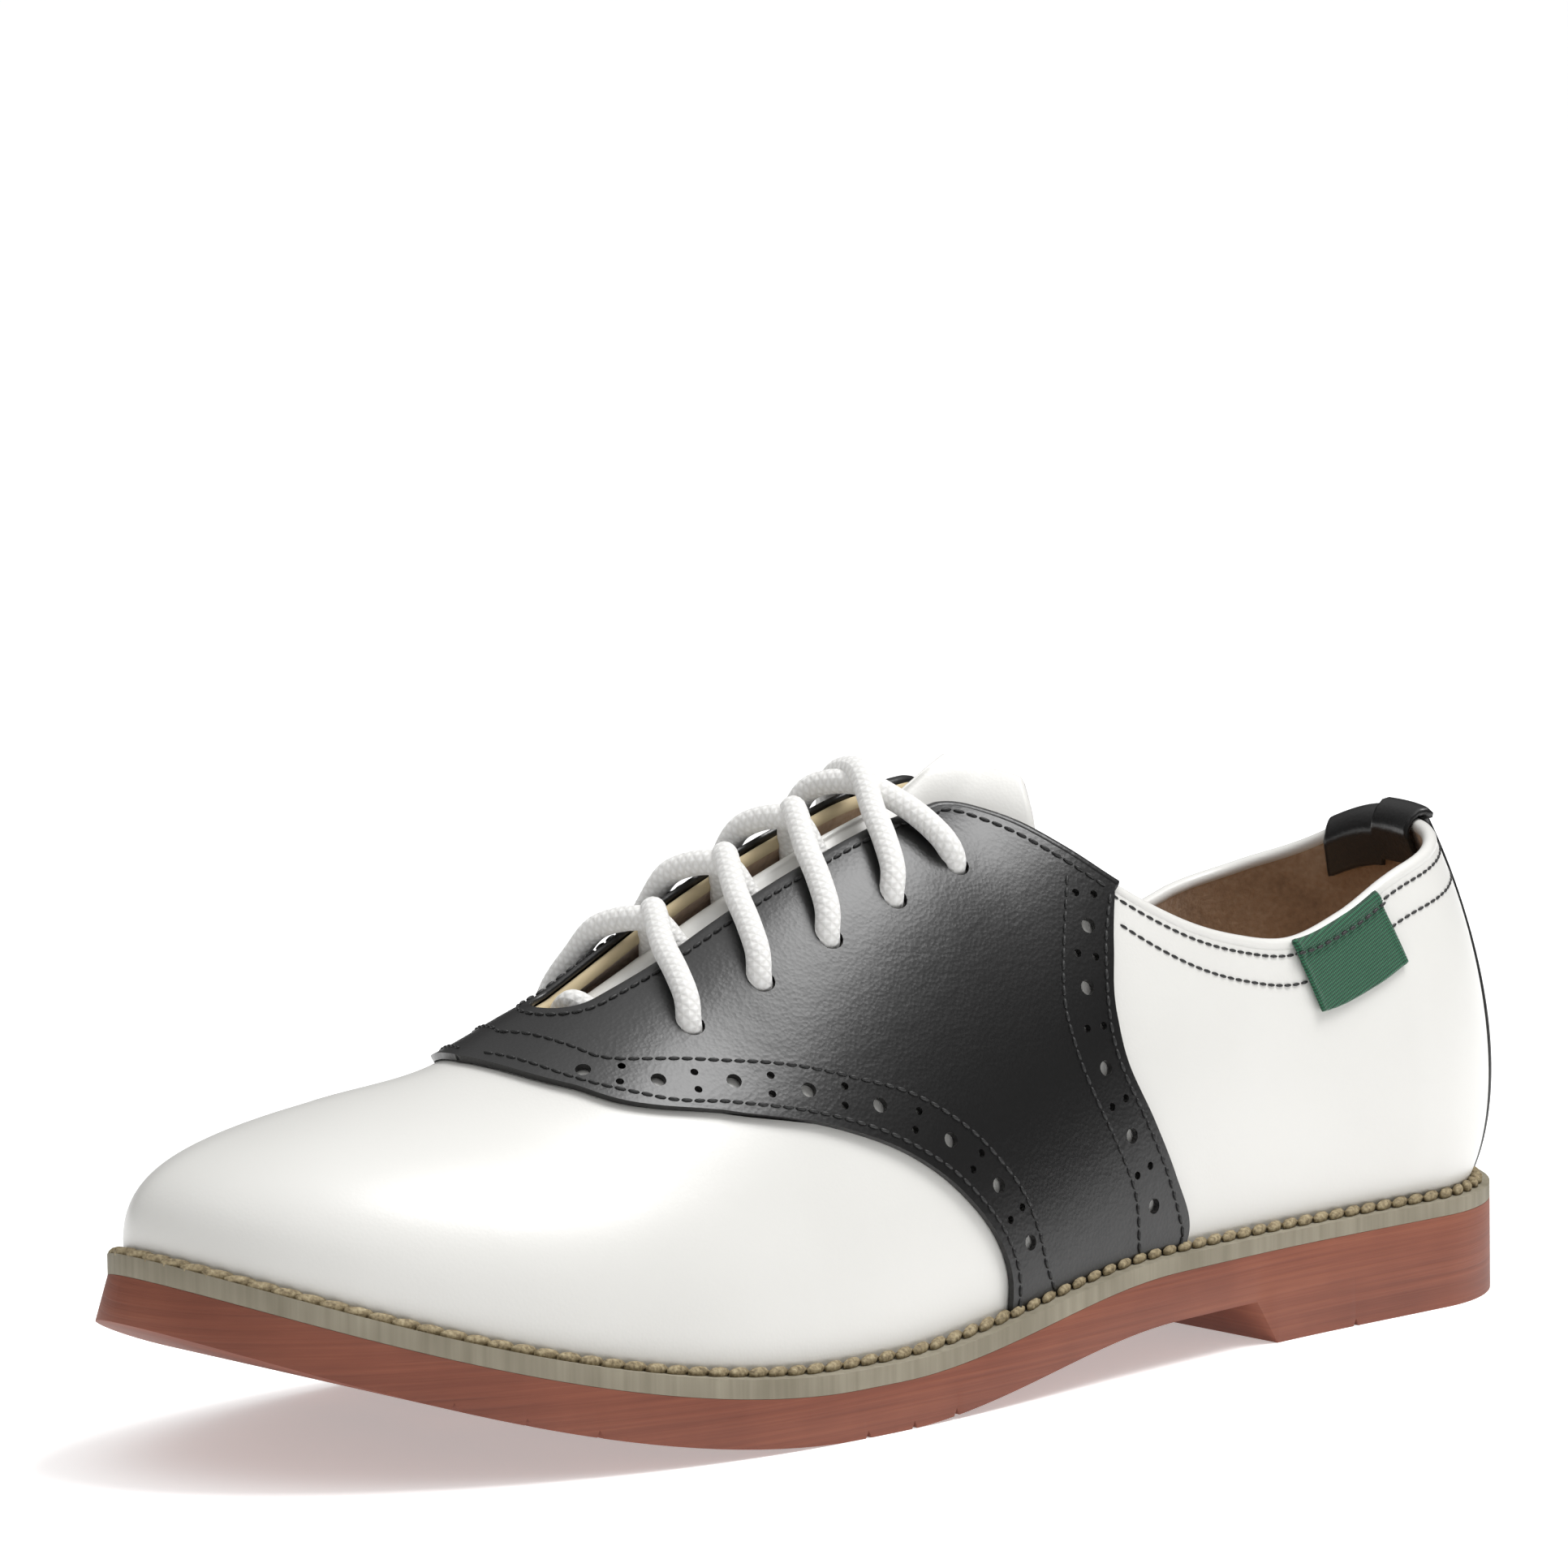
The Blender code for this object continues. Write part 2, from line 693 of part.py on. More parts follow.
def upper_steps():
    """Sections of the upper from the heel's back to the toe's tip."""
    reach = THROAT_GAP / 2 / SOLE_LENGTH
    along = np.concatenate([
        np.linspace(HEEL_CENTRE, 0.390, 8, endpoint=False),
        np.linspace(0.390, 0.454, 6, endpoint=False),
        np.linspace(0.454, THROAT_END - reach, 7, endpoint=False),
        throat_steps(),
        np.linspace(THROAT_END, TOE_CENTRE, 6, endpoint=False)[1:],
    ])
    heel = np.linspace(-1.0, 0.0, 9, endpoint=False)
    toe = np.linspace(1.0, 2.0, 10)
    return np.concatenate([heel, s_at(along), toe])


def eyelet_row(number):
    """Distance of a lace hole from the middle line."""
    share = (number - 1) / (EYELETS - 1)
    return EYELET_ROW_FOOT + (EYELET_ROW_TOP - EYELET_ROW_FOOT) * share


def eyelet(side, number):
    """Section and height share of a lace hole, 1 at the bottom to 5."""
    along = EYELET_FIRST - (number - 1) * EYELET_SPACING / SOLE_LENGTH
    s = s_at(along)
    return s, find_t(column(side, s), eyelet_row(number), "distance")


def punch(obj):
    """Cut the lace holes through a piece of the upper."""
    for side in (1, -1):
        for number in range(1, EYELETS + 1):
            s, t = eyelet(side, number)
            low = skin(side, s, t, -2.0 * UPPER_WALL)
            high = skin(side, s, t, 2.0 * UPPER_WALL)
            boolean(obj, tube("hole_cutter", [low, high], EYELET_RADIUS, 12), "DIFFERENCE")


def tube(name, line, radius, sides=8, colour=(0.85, 0.85, 0.84)):
    """A round cord along points, with flat ends."""
    line = [np.array(p, float) for p in line]
    points = []
    last = None
    for i, p in enumerate(line):
        ahead = line[min(i + 1, len(line) - 1)] - line[max(i - 1, 0)]
        ahead /= np.linalg.norm(ahead)
        if last is None:
            last = np.cross(ahead, (0.0, 0.0, 1.0))
            if np.linalg.norm(last) < 0.1:
                last = np.cross(ahead, (0.0, 1.0, 0.0))
        last = last - ahead * np.dot(last, ahead)
        last /= np.linalg.norm(last)
        across = np.cross(ahead, last)
        for k in range(sides):
            turn = 2.0 * math.pi * k / sides
            points.append(p + radius * (last * math.cos(turn) + across * math.sin(turn)))
    faces = sheet_faces(len(line), sides, 0, wrap=True)
    faces.append(tuple(range(sides)))
    faces.append(tuple(range(len(points) - 1, len(points) - sides - 1, -1)))
    return add_body(name, points, faces, colour, 0.7)


def upper_grids(steps, outside, inside):
    """Grids of both sides of the upper between two offsets from its surface."""
    grids = []
    for side in (1, -1):
        tops = [open_t(side, s) for s in steps]
        layers = [np.array([[skin(side, s, top * u, offset) for s, top in zip(steps, tops)]
                            for u in UPPER_ROWS]) for offset in (outside, inside)]
        grids.append((layers[0], layers[1], [top < 1.0 for top in tops]))
    return grids


def make_upper():
    """The white leather shell: vamp and quarters as one hollow wall."""
    grids = upper_grids(upper_steps(), 0.0, -UPPER_WALL)
    upper = two_sided("upper", grids, True, (0.88, 0.88, 0.86), 0.35)
    punch(upper)
    return upper


def make_saddle():
    """The black overlay across the instep, from sole to sole."""
    steps = [s for s in upper_steps() if s_at(SADDLE_FROM) <= s <= s_at(SADDLE_TO)]
    grids = upper_grids(steps, SEAT + OVERLAY, SEAT)
    saddle = two_sided("saddle", grids, False, (0.02, 0.02, 0.022), 0.4)
    profile = [(x * SOLE_LENGTH, z * INSTEP_HEIGHT) for x, z in SADDLE_EDGE]
    boolean(saddle, prism("saddle_outline", profile), "INTERSECT")
    punch(saddle)
    return saddle


def rim_path(side, s, outside, inside, fold):
    """A line up the outside of the wall, over its top and down the inside."""
    top = open_t(side, s)
    col = column(side, s)
    crest = section_point(col, top)
    below = find_t(col, crest[2] - fold, "height")
    ups = np.linspace(0.0, top, 9)
    line = [skin(side, s, u, outside) for u in ups]
    over = skin(side, s, top, -UPPER_WALL / 2)
    lift = np.array([0.0, 0.0, outside])
    line.append(skin(side, s, top, 0.7 * outside) + 0.7 * lift)
    line.append(over + lift)
    line.append(skin(side, s, top, -UPPER_WALL - 0.7 * inside) + 0.7 * lift)
    line += [skin(side, s, u, -UPPER_WALL - inside) for u in (top, below)]
    return line


def make_backstay():
    """A black strip over the back seam, folded over the topline as a tab."""
    grids = []
    for offset in (BACKSTAY_GAP + BACKSTAY, BACKSTAY_GAP):
        sheet = []
        for share in np.linspace(-1.0, 1.0, 11):
            side = 1 if share >= 0.0 else -1
            line = []
            for k in range(14):
                half = float(row_value(BACKSTAY_ROWS, 1, min(k / 8.0, 1.0)))
                turn = half * abs(share) / (BACKSTAY_SPAN if k < 8 else COLLAR_HALF)
                s = -1.0 + turn / (math.pi / 2)
                line.append(rim_path(side, s, offset, offset, TAB_FOLD)[k])
            sheet.append(line)
        grids.append(np.array(sheet))
    return leather("backstay", grids[0], grids[1], (0.02, 0.02, 0.022), 0.45)


def make_label():
    """A bare woven tab at the topline on the outer side."""
    half = LABEL_WIDTH / 2 / SOLE_LENGTH
    grids = []
    for offset in (SEAT + LABEL_THICKNESS, SEAT):
        sheet = []
        for at in np.linspace(LABEL_AT - half, LABEL_AT + half, 5):
            crest = section_point(column(1, s_at(at)), open_t(1, s_at(at)))[2]
            line = []
            for down in np.linspace(1.0, 0.0, 5):
                s = s_at(max(at - down * LABEL_LEAN / SOLE_LENGTH, HEEL_CENTRE))
                t = find_t(column(1, s), crest - LABEL_DROP * down, "height")
                line.append(skin(1, s, t, offset))
            sheet.append(line)
        grids.append(np.array(sheet))
    return leather("side_label", grids[0], grids[1], (0.02, 0.10, 0.06), 0.8)


def tongue_point(share, across, depth):
    """A point of the tongue's upper side, or under it by a depth."""
    rows = [(i / (len(TONGUE_ROWS) - 1),) + r for i, r in enumerate(TONGUE_ROWS)]
    along, half, lift, shift = (float(row_value(rows, k, share)) for k in (1, 2, 3, 4))
    place = across * half * TONGUE_WIDTH / 2
    place -= TONGUE_SHIFT * shift * (1.0 - across * across)
    side = 1 if place >= 0.0 else -1
    s = s_at(along - TONGUE_LEAN * lift * across * across)
    col = column(side, s)
    t = find_t(col, abs(place), "distance")
    edge = section_point(col, open_t(side, s))
    free = max(side * (edge[1] - col["centre"][1]), THROAT_GAP / 2)
    fade = 1.0 - min(abs(place) / free, 1.0) ** TONGUE_FADE
    raised = column(-1, s)["lift"]
    sink = TONGUE_SINK * raised / FACING_LIFT
    point = skin(side, s, t, -UPPER_WALL - TONGUE_CLEAR - sink - depth)
    slope = 0.5 - min(max(place / THROAT_GAP, -0.5), 0.5)
    if side < 0:
        point[2] -= facing_lift(col, t) * (1.0 - slope)
    else:
        point[2] += raised * slope
    point[2] += TONGUE_LIFT * lift * fade
    return point


def make_tongue():
    """White leather under the throat, rising out of it at the top."""
    grids = []
    for depth in (0.0, TONGUE_THICKNESS):
        grids.append(np.array([[tongue_point(a, b, depth) for b in np.linspace(-1, 1, 11)]
                               for a in np.linspace(0.0, 1.0, 14)]))
    return leather("tongue", grids[0], grids[1], (0.88, 0.88, 0.86), 0.4)


def strand(side, number, last):
    """Points of one lace end from its hole across the throat."""
    clear = SEAT + OVERLAY + SEAT + LACE_DIAMETER / 2
    high = LACE_OVER if side > 0 else LACE_UNDER
    start = eyelet(side, number)[0]
    ahead = eyelet(-side, number + 1)[0] - start
    stops = [1.0, 0.7, 0.36]
    if last:
        stops += [0.0, -0.36, -0.7, -1.0]
    path = []
    for k in stops:
        s = start + ahead * (1.0 - k) / 2
        over = side if k >= 0.0 else -side
        if k == 0.0:
            path.append(between_facings(s, high))
            continue
        row = eyelet_row(number if k > 0.0 else number + 1)
        t = find_t(column(over, s), abs(k) * row, "distance")
        path.append(skin(over, s, t, clear + LACE_RISE * (1.0 - k * k)))
    if not last:
        path.append(between_facings(start + ahead / 2, high))
        stop = THROAT_GAP / 2 - LACE_DIAMETER / 2 - 2 * SEAT
        s = start + ahead * (0.5 + stop / EYELET_ROW_TOP / 2)
        point = section_point(column(1, s), 1.0)
        path.append(point + np.array([0.0, -side * stop, high - LACE_DIVE]))
    return path


def between_facings(s, high):
    """A point in the middle of the throat, above it by a height."""
    middle = (section_point(column(1, s), 1.0) + section_point(column(-1, s), 1.0)) / 2
    return middle + np.array([0.0, 0.0, high])


def curve_through(points, count):
    """Evenly numbered points on a smooth curve through a few."""
    rows = [(float(i),) + tuple(p) for i, p in enumerate(points)]
    at = np.linspace(0.0, len(points) - 1.0, count)
    return np.stack([row_value(rows, k, at) for k in (1, 2, 3)], 1)


def make_laces():
    """White cord: crossings over the throat, and the bar at its foot."""
    for number in range(1, EYELETS):
        last = number == EYELETS - 1
        ends = []
        for side in (1, -1):
            line = curve_through(strand(side, number, last), 13 if last else 9)
            ends.append(tube("lace_cross_%d" % number if side > 0 else "lace_under",
                             line, LACE_DIAMETER / 2, 8))
        boolean(ends[0], ends[1], "UNION")
    middle = section_point(column(1, s_at(LACE_BAR_AT)), 1.0)
    middle[2] -= LACE_DIAMETER * LACE_BAR_SINK
    across = np.array([0.0, THROAT_GAP / 2 - 3 * SEAT, 0.0])
    tube("lace_bar", [middle - across, middle, middle + across], LACE_DIAMETER / 2, 8)


make_outsole()
make_midsole()
make_insole()
make_upper()
make_saddle()
make_backstay()
make_label()
make_tongue()
make_laces()
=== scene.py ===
"""A black and white saddle shoe, put together in a shoemaker's order.

Metres, +Z up, toe towards +X and the outer side of the foot towards +Y.
"""
import math

import bmesh
import bpy
import numpy as np
from mathutils import Matrix, Vector


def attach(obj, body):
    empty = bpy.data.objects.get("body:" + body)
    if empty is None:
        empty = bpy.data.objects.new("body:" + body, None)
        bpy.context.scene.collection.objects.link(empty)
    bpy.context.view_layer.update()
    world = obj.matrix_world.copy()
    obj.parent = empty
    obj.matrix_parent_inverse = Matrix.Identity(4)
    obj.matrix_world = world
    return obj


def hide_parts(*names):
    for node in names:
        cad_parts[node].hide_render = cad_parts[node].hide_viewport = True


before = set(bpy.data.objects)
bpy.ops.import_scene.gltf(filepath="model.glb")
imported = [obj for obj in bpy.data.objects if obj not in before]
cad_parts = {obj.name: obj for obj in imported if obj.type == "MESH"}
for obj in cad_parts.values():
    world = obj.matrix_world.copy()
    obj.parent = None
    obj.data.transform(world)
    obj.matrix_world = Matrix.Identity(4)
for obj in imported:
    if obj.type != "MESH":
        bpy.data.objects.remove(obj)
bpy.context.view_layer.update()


# The outsole: brick-red rubber, moulded in one piece with a low heel, an
# arch and a toe spring. Its edge is trimmed and buffed along its length.
SOLE_LENGTH = 0.265
MIDDLE_X = 0.13145
BALL_WIDTH = 0.0911
HEEL_ARC = 0.029
HEEL_SHIFT = 0.0002
TOE_SWING = 0.0115
TOE_SPRING = 0.0241
ARCH_RISE = 0.0074
OUTSOLE_THICKNESS = 0.0077
MIDSOLE_AT_TOE = 0.0030
MIDSOLE_AT_HEEL = 0.0022
EDGE_FLARE = 0.0024
HEEL_BREAST = 0.068
BREAST_SLANT = 0.0050
SIPE_DEPTH = 0.0012
SIPE_WIDTH = 0.0012
SEAT = 0.0003
SIPES = (0.186, 0.548, 0.583, 0.620, 0.804, 0.845, 0.883)
FLAT_FROM = 0.592
FLAT_TO = 0.628
ARCH_FROM = 0.347
SPRING_POWER = 1.80
OUTER_EDGE = (
    # along, width
    (0.109, 0.361),
    (0.240, 0.381),
    (0.380, 0.431),
    (0.500, 0.474),
    (0.600, 0.496),
    (0.647, 0.500),
)
INNER_EDGE = (
    # along, width
    (0.109, 0.361),
    (0.240, 0.330),
    (0.380, 0.307),
    (0.500, 0.340),
    (0.600, 0.428),
    (0.660, 0.481),
    (0.706, 0.500),
)
OUTSOLE_ROUNDING = 0.0005
TOE_POWER = 2.02
TOE_CENTRE = 0.838


def smooth(t):
    """An S curve from 0 to 1."""
    t = np.clip(t, 0.0, 1.0)
    return t * t * (3.0 - 2.0 * t)


def row_value(rows, column, along):
    """A column of a table, on a smooth curve through its rows."""
    table = np.array(rows)
    x = table[:, 0]
    y = table[:, column]
    slope = np.gradient(y, x)
    at = np.clip(along, x[0], x[-1])
    i = np.clip(np.searchsorted(x, at) - 1, 0, len(x) - 2)
    span = x[i + 1] - x[i]
    t = (at - x[i]) / span
    rise = t * t * (3.0 - 2.0 * t)
    start = t * (1.0 - t) ** 2 * span
    end = t * t * (t - 1.0) * span
    return y[i] + (y[i + 1] - y[i]) * rise + slope[i] * start + slope[i + 1] * end


def ground(x):
    """Underside of the sole's even thickness: toe spring, flat and arch."""
    along = np.asarray(x) / SOLE_LENGTH
    toe = np.clip((along - FLAT_TO) / (1.0 - FLAT_TO), 0.0, 1.0)
    arch = smooth((FLAT_FROM - along) / (FLAT_FROM - ARCH_FROM))
    return TOE_SPRING * toe ** SPRING_POWER + ARCH_RISE * arch


def seat_height(x):
    """Top of the midsole, which the upper stands on."""
    share = smooth(np.asarray(x) / SOLE_LENGTH)
    thick = MIDSOLE_AT_HEEL + (MIDSOLE_AT_TOE - MIDSOLE_AT_HEEL) * share
    return ground(x) + OUTSOLE_THICKNESS + SEAT + thick


def sole_edge(side, heel_points=40, waist_points=70, toe_points=70):
    """One side of the sole's outline, from the heel's back to the toe's tip."""
    rows = OUTER_EDGE if side > 0 else INNER_EDGE
    ball = rows[-1][0] * SOLE_LENGTH
    half = rows[0][1] * BALL_WIDTH - side * HEEL_SHIFT
    turn = np.linspace(0.0, math.pi / 2, heel_points, endpoint=False)
    heel = np.stack([HEEL_ARC * (1.0 - np.cos(turn)),
                     HEEL_SHIFT + side * half * np.sin(turn)], 1)
    x = np.linspace(HEEL_ARC, ball, waist_points, endpoint=False)
    waist = np.stack([x, side * BALL_WIDTH * row_value(rows, 1, x / SOLE_LENGTH)], 1)
    turn = np.linspace(0.0, math.pi / 2, toe_points)
    reach = np.sin(turn) ** (2.0 / TOE_POWER)
    width = np.cos(turn) ** (2.0 / TOE_POWER)
    tip = -TOE_SWING
    toe = np.stack([ball + (SOLE_LENGTH - ball) * reach,
                    tip + (side * BALL_WIDTH / 2 - tip) * width], 1)
    return np.concatenate([heel, waist, toe])


def inset(line, side, distance):
    """A sole edge moved inwards by a distance that may change along it."""
    run = np.gradient(line, axis=0)
    run[0] = (0.0, side)
    run[-1] = (0.0, -side)
    run /= np.linalg.norm(run, axis=1)[:, None]
    inward = np.stack([run[:, 1], -run[:, 0]], 1) * side
    return line + inward * np.reshape(distance, (-1, 1))


def sole_ring(margin):
    """The sole's whole outline moved inwards, outer side first."""
    sides = [inset(sole_edge(side), side, margin(sole_edge(side)[:, 0])) for side in (1, -1)]
    return np.concatenate([sides[0], sides[1][-2:0:-1]]), len(sides[0])


def placed(name, data):
    """A new object, linked to the scene."""
    made = bpy.data.objects.new(name, data)
    bpy.context.collection.objects.link(made)
    return made


def as_piece(name, bm):
    """A smooth object from a bmesh, with its faces turned outwards."""
    bmesh.ops.recalc_face_normals(bm, faces=bm.faces)
    mesh = bpy.data.meshes.new(name)
    bm.to_mesh(mesh)
    bm.free()
    mesh.shade_smooth()
    return placed(name, mesh)


def new_piece(name, points, faces, marks=None, merge=0.00002):
    """A mesh at its place in the shoe, with coincident points merged."""
    bm = bmesh.new()
    verts = [bm.verts.new((p[0] - MIDDLE_X, p[1], p[2])) for p in points]
    for i, face in enumerate(faces):
        made = bm.faces.new([verts[k] for k in face])
        if marks is not None:
            made.material_index = marks[i]
    bmesh.ops.remove_doubles(bm, verts=bm.verts, dist=merge)
    bmesh.ops.dissolve_degenerate(bm, dist=0.000001, edges=bm.edges)
    return as_piece(name, bm)


def settle(piece):
    """Turns a piece's modifiers into its mesh."""
    graph = bpy.context.evaluated_depsgraph_get()
    done = bpy.data.meshes.new_from_object(piece.evaluated_get(graph))
    piece.modifiers.clear()
    piece.data = done


def cut(piece, other):
    """Cuts a piece with another, which is then thrown away."""
    knife = piece.modifiers.new("knife", "BOOLEAN")
    knife.object = other
    knife.operation = "DIFFERENCE"
    knife.solver = "EXACT"
    settle(piece)
    bpy.data.objects.remove(other, do_unlink=True)


def shade(piece, angle=50.0):
    """Shades a piece smooth, except over edges sharper than an angle."""
    piece.data.shade_smooth()
    piece.data.set_sharp_from_angle(angle=math.radians(angle))


def round_edges(piece, width):
    """Breaks a piece's sharp edges."""
    bevel = piece.modifiers.new("edges", "BEVEL")
    bevel.width = width
    bevel.segments = 2
    bevel.limit_method = "ANGLE"
    bevel.angle_limit = math.radians(35.0)
    bevel.use_clamp_overlap = True
    settle(piece)
    shade(piece)


def plate(name, ring, half, low, high, foot=None):
    """A plate with the sole's outline between two heights along it."""
    total = len(ring)
    base = ring if foot is None else foot
    points = [(x, y, z) for (x, y), z in zip(base, low(base[:, 0]))]
    points += [(x, y, z) for (x, y), z in zip(ring, high(ring[:, 0]))]
    faces = [(i, (i + 1) % total, total + (i + 1) % total, total + i) for i in range(total)]
    for k in (0, total):
        for i in range(half - 1):
            corners = tuple(dict.fromkeys((k + i, k + i + 1, k + (total - i - 1) % total,
                                           k + (total - i) % total)))
            if len(corners) > 2:
                faces.append(corners)
    return new_piece(name, points, faces)


def prism(profile):
    """A knife right across the sole, from a profile in side view."""
    points = [(x, y, z) for y in (-BALL_WIDTH, BALL_WIDTH) for x, z in profile]
    n = len(profile)
    faces = [tuple(range(n)), tuple(range(2 * n - 1, n - 1, -1))]
    faces += [(i, (i + 1) % n, n + (i + 1) % n, n + i) for i in range(n)]
    return new_piece("knife", points, faces)


def linear(hex_colour):
    """A colour for Blender from its sRGB hex value."""
    out = []
    for i in (0, 2, 4):
        c = int(hex_colour[i:i + 2], 16) / 255.0
        out.append(c / 12.92 if c <= 0.04045 else ((c + 0.055) / 1.055) ** 2.4)
    return (*out, 1.0)


def add(tree, kind, settings=None, **inputs):
    """Adds a node with its settings, and its input values or links."""
    made = tree.nodes.new(kind)
    for key, value in (settings or {}).items():
        setattr(made, key, value)
    for key, value in inputs.items():
        socket = made.inputs[int(key[1:])] if key[0] == "i" and key[1:].isdigit() \
            else made.inputs[key.replace("_", " ")]
        if isinstance(value, bpy.types.NodeSocket):
            tree.links.new(value, socket)
        else:
            socket.default_value = value
    return made


def new_material(name, **shader):
    """A material with one Principled shader, its node tree and its place."""
    mat = bpy.data.materials.new(name)
    mat.use_nodes = True
    tree = mat.node_tree
    for key, value in shader.items():
        tree.nodes["Principled BSDF"].inputs[key.replace("_", " ")].default_value = value
    return mat, tree, add(tree, "ShaderNodeTexCoord").outputs["Object"]


def ramp(tree, factor, stops):
    """A colour ramp over a factor, from (place, hex) pairs."""
    made = add(tree, "ShaderNodeValToRGB", i0=factor)
    bar = made.color_ramp
    while len(bar.elements) < len(stops):
        bar.elements.new(0.5)
    for element, (place, colour) in zip(bar.elements, stops):
        element.position = place
        element.color = linear(colour)
    return made.outputs[0]


def noise(tree, place, scale, detail, **more):
    """A noise texture's value at a place."""
    return add(tree, "ShaderNodeTexNoise", Vector=place, Scale=scale, Detail=detail,
               **more).outputs[0]


def maths(tree, operation, *values):
    """The result of a maths node on numbers or links."""
    inputs = {"i%d" % k: value for k, value in enumerate(values)}
    return add(tree, "ShaderNodeMath", {"operation": operation}, **inputs).outputs[0]


def mixed(tree, one, other, share):
    """Two values mixed, with a share of the first one."""
    return maths(tree, "MULTIPLY_ADD", one, share, maths(tree, "MULTIPLY", other, 1.0 - share))


def paint(tree, factor, stops, height, strength, distance):
    """Colours a material by a factor and dents it by a height."""
    bsdf = tree.nodes["Principled BSDF"]
    tree.links.new(ramp(tree, factor, stops), bsdf.inputs["Base Color"])
    dent = add(tree, "ShaderNodeBump", Strength=strength, Distance=distance, Height=height)
    tree.links.new(dent.outputs[0], bsdf.inputs["Normal"])


def finished(piece, material, slot, *nodes):
    """A finished piece takes its material and its CAD nodes' place; its slot is not used."""
    if material is not None:
        piece.data.materials.clear()
        piece.data.materials.append(material)
    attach(piece, "root")
    if nodes:
        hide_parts(*nodes)


ring, half = sole_ring(lambda x: 0.0 * x)
away = ring - np.array([TOE_CENTRE * SOLE_LENGTH, -TOE_SWING])
away /= np.linalg.norm(away, axis=1)[:, None]
flare = EDGE_FLARE * smooth((ring[:, 0] / SOLE_LENGTH - OUTER_EDGE[-1][0])
                            / (1 - OUTER_EDGE[-1][0]))
top_ring = ring - away * flare[:, None]
lift = (ground(ring[:, 0]) + OUTSOLE_THICKNESS) / OUTSOLE_THICKNESS
foot_ring = top_ring + away * (flare * lift)[:, None]
outsole = plate("outsole_rubber", top_ring, half, lambda x: 0.0 * x,
                lambda x: ground(x) + OUTSOLE_THICKNESS, foot_ring)
below = -2.0 * ARCH_RISE
lean = BREAST_SLANT / ARCH_RISE
arch_x = np.linspace(HEEL_BREAST + BREAST_SLANT, FLAT_FROM * SOLE_LENGTH, 30)
arch = [(x, float(z)) for x, z in zip(arch_x, ground(arch_x))]
cut(outsole, prism(arch + [(arch_x[-1], below), (HEEL_BREAST + lean * below, below)]))
spring_x = np.linspace(FLAT_TO, 1.05, 30) * SOLE_LENGTH
spring_z = TOE_SPRING * ((spring_x / SOLE_LENGTH - FLAT_TO) / (1 - FLAT_TO)) ** SPRING_POWER
spring = [(x, float(z)) for x, z in zip(spring_x, spring_z)]
cut(outsole, prism(spring + [(spring_x[-1], below), (spring_x[0], below)]))
for along in SIPES:
    x = along * SOLE_LENGTH
    z = float(ground(x)) if x > HEEL_BREAST else 0.0
    cut(outsole, prism([(x - SIPE_WIDTH, z - SIPE_DEPTH), (x + SIPE_WIDTH, z - SIPE_DEPTH),
                        (x, z + SIPE_DEPTH)]))
round_edges(outsole, OUTSOLE_ROUNDING)

# Buffed rubber: fine scratches run along the edge, colour slightly uneven.
rubber, tree, place = new_material("brick_red_buffed_rubber", Roughness=0.62, IOR=1.5)
along_edge = add(tree, "ShaderNodeMapping", Vector=place, Scale=(18.0, 18.0, 1400.0))
streak = noise(tree, along_edge.outputs[0], 1.0, 4.0, Roughness=0.6)
both = mixed(tree, noise(tree, place, 45.0, 3.0), streak, 0.45)
paint(tree, both, [(0.30, "6E3A2A"), (0.5, "804734"), (0.72, "92563F")], streak, 0.35, 0.0003)
finished(outsole, rubber, "outsole_rubber", "outsole")


# The midsole: an olive-grey layer between outsole and upper. Its edge was
# skived across, which leaves faint upright streaks.
MIDSOLE_ROUNDING = 0.0004
HAIR = 0.00005
midsole = plate("midsole_layer", top_ring, half,
                lambda x: ground(x) + OUTSOLE_THICKNESS + HAIR, seat_height)
round_edges(midsole, MIDSOLE_ROUNDING)
rand, tree, place = new_material("olive_grey_midsole_board", Roughness=0.7, IOR=1.45)
upright = add(tree, "ShaderNodeMapping", Vector=place, Scale=(700.0, 700.0, 30.0))
streak = noise(tree, upright.outputs[0], 1.0, 3.0)
both = mixed(tree, noise(tree, place, 60.0, 3.0), streak, 0.5)
paint(tree, both, [(0.3, "77705E"), (0.5, "888170"), (0.7, "999280")], streak, 0.3, 0.0002)
finished(midsole, rand, "midsole_rand", "midsole")


# The insole: a thin leather sock, tan and slightly napped, glued down inside
# on the midsole.
WELT_AT_TOE = 0.0048
WELT_AT_HEEL = 0.0036
UPPER_WALL = 0.0020
INSOLE_THICKNESS = 0.0030
INSOLE_ROUNDING = 0.0006


def welt_width(x):
    """Ledge of the midsole outside the upper, widest round the toe."""
    return WELT_AT_HEEL + (WELT_AT_TOE - WELT_AT_HEEL) * smooth(x / SOLE_LENGTH)


ring, half = sole_ring(lambda x: welt_width(x) + UPPER_WALL + 2 * SEAT)
insole = plate("insole_sock", ring, half, lambda x: seat_height(x) + 2 * HAIR,
               lambda x: seat_height(x) + SEAT + INSOLE_THICKNESS)
round_edges(insole, INSOLE_ROUNDING)
suede, tree, place = new_material("tan_napped_lining_leather", Roughness=0.9, IOR=1.45,
                                  Sheen_Weight=0.35, Sheen_Roughness=0.5)
nap = noise(tree, place, 900.0, 4.0)
both = mixed(tree, noise(tree, place, 110.0, 4.0), nap, 0.6)
paint(tree, both, [(0.3, "94785F"), (0.5, "B39578"), (0.7, "C9AE93")], nap, 0.6, 0.0003)
finished(insole, suede, "insole_lining", "insole")


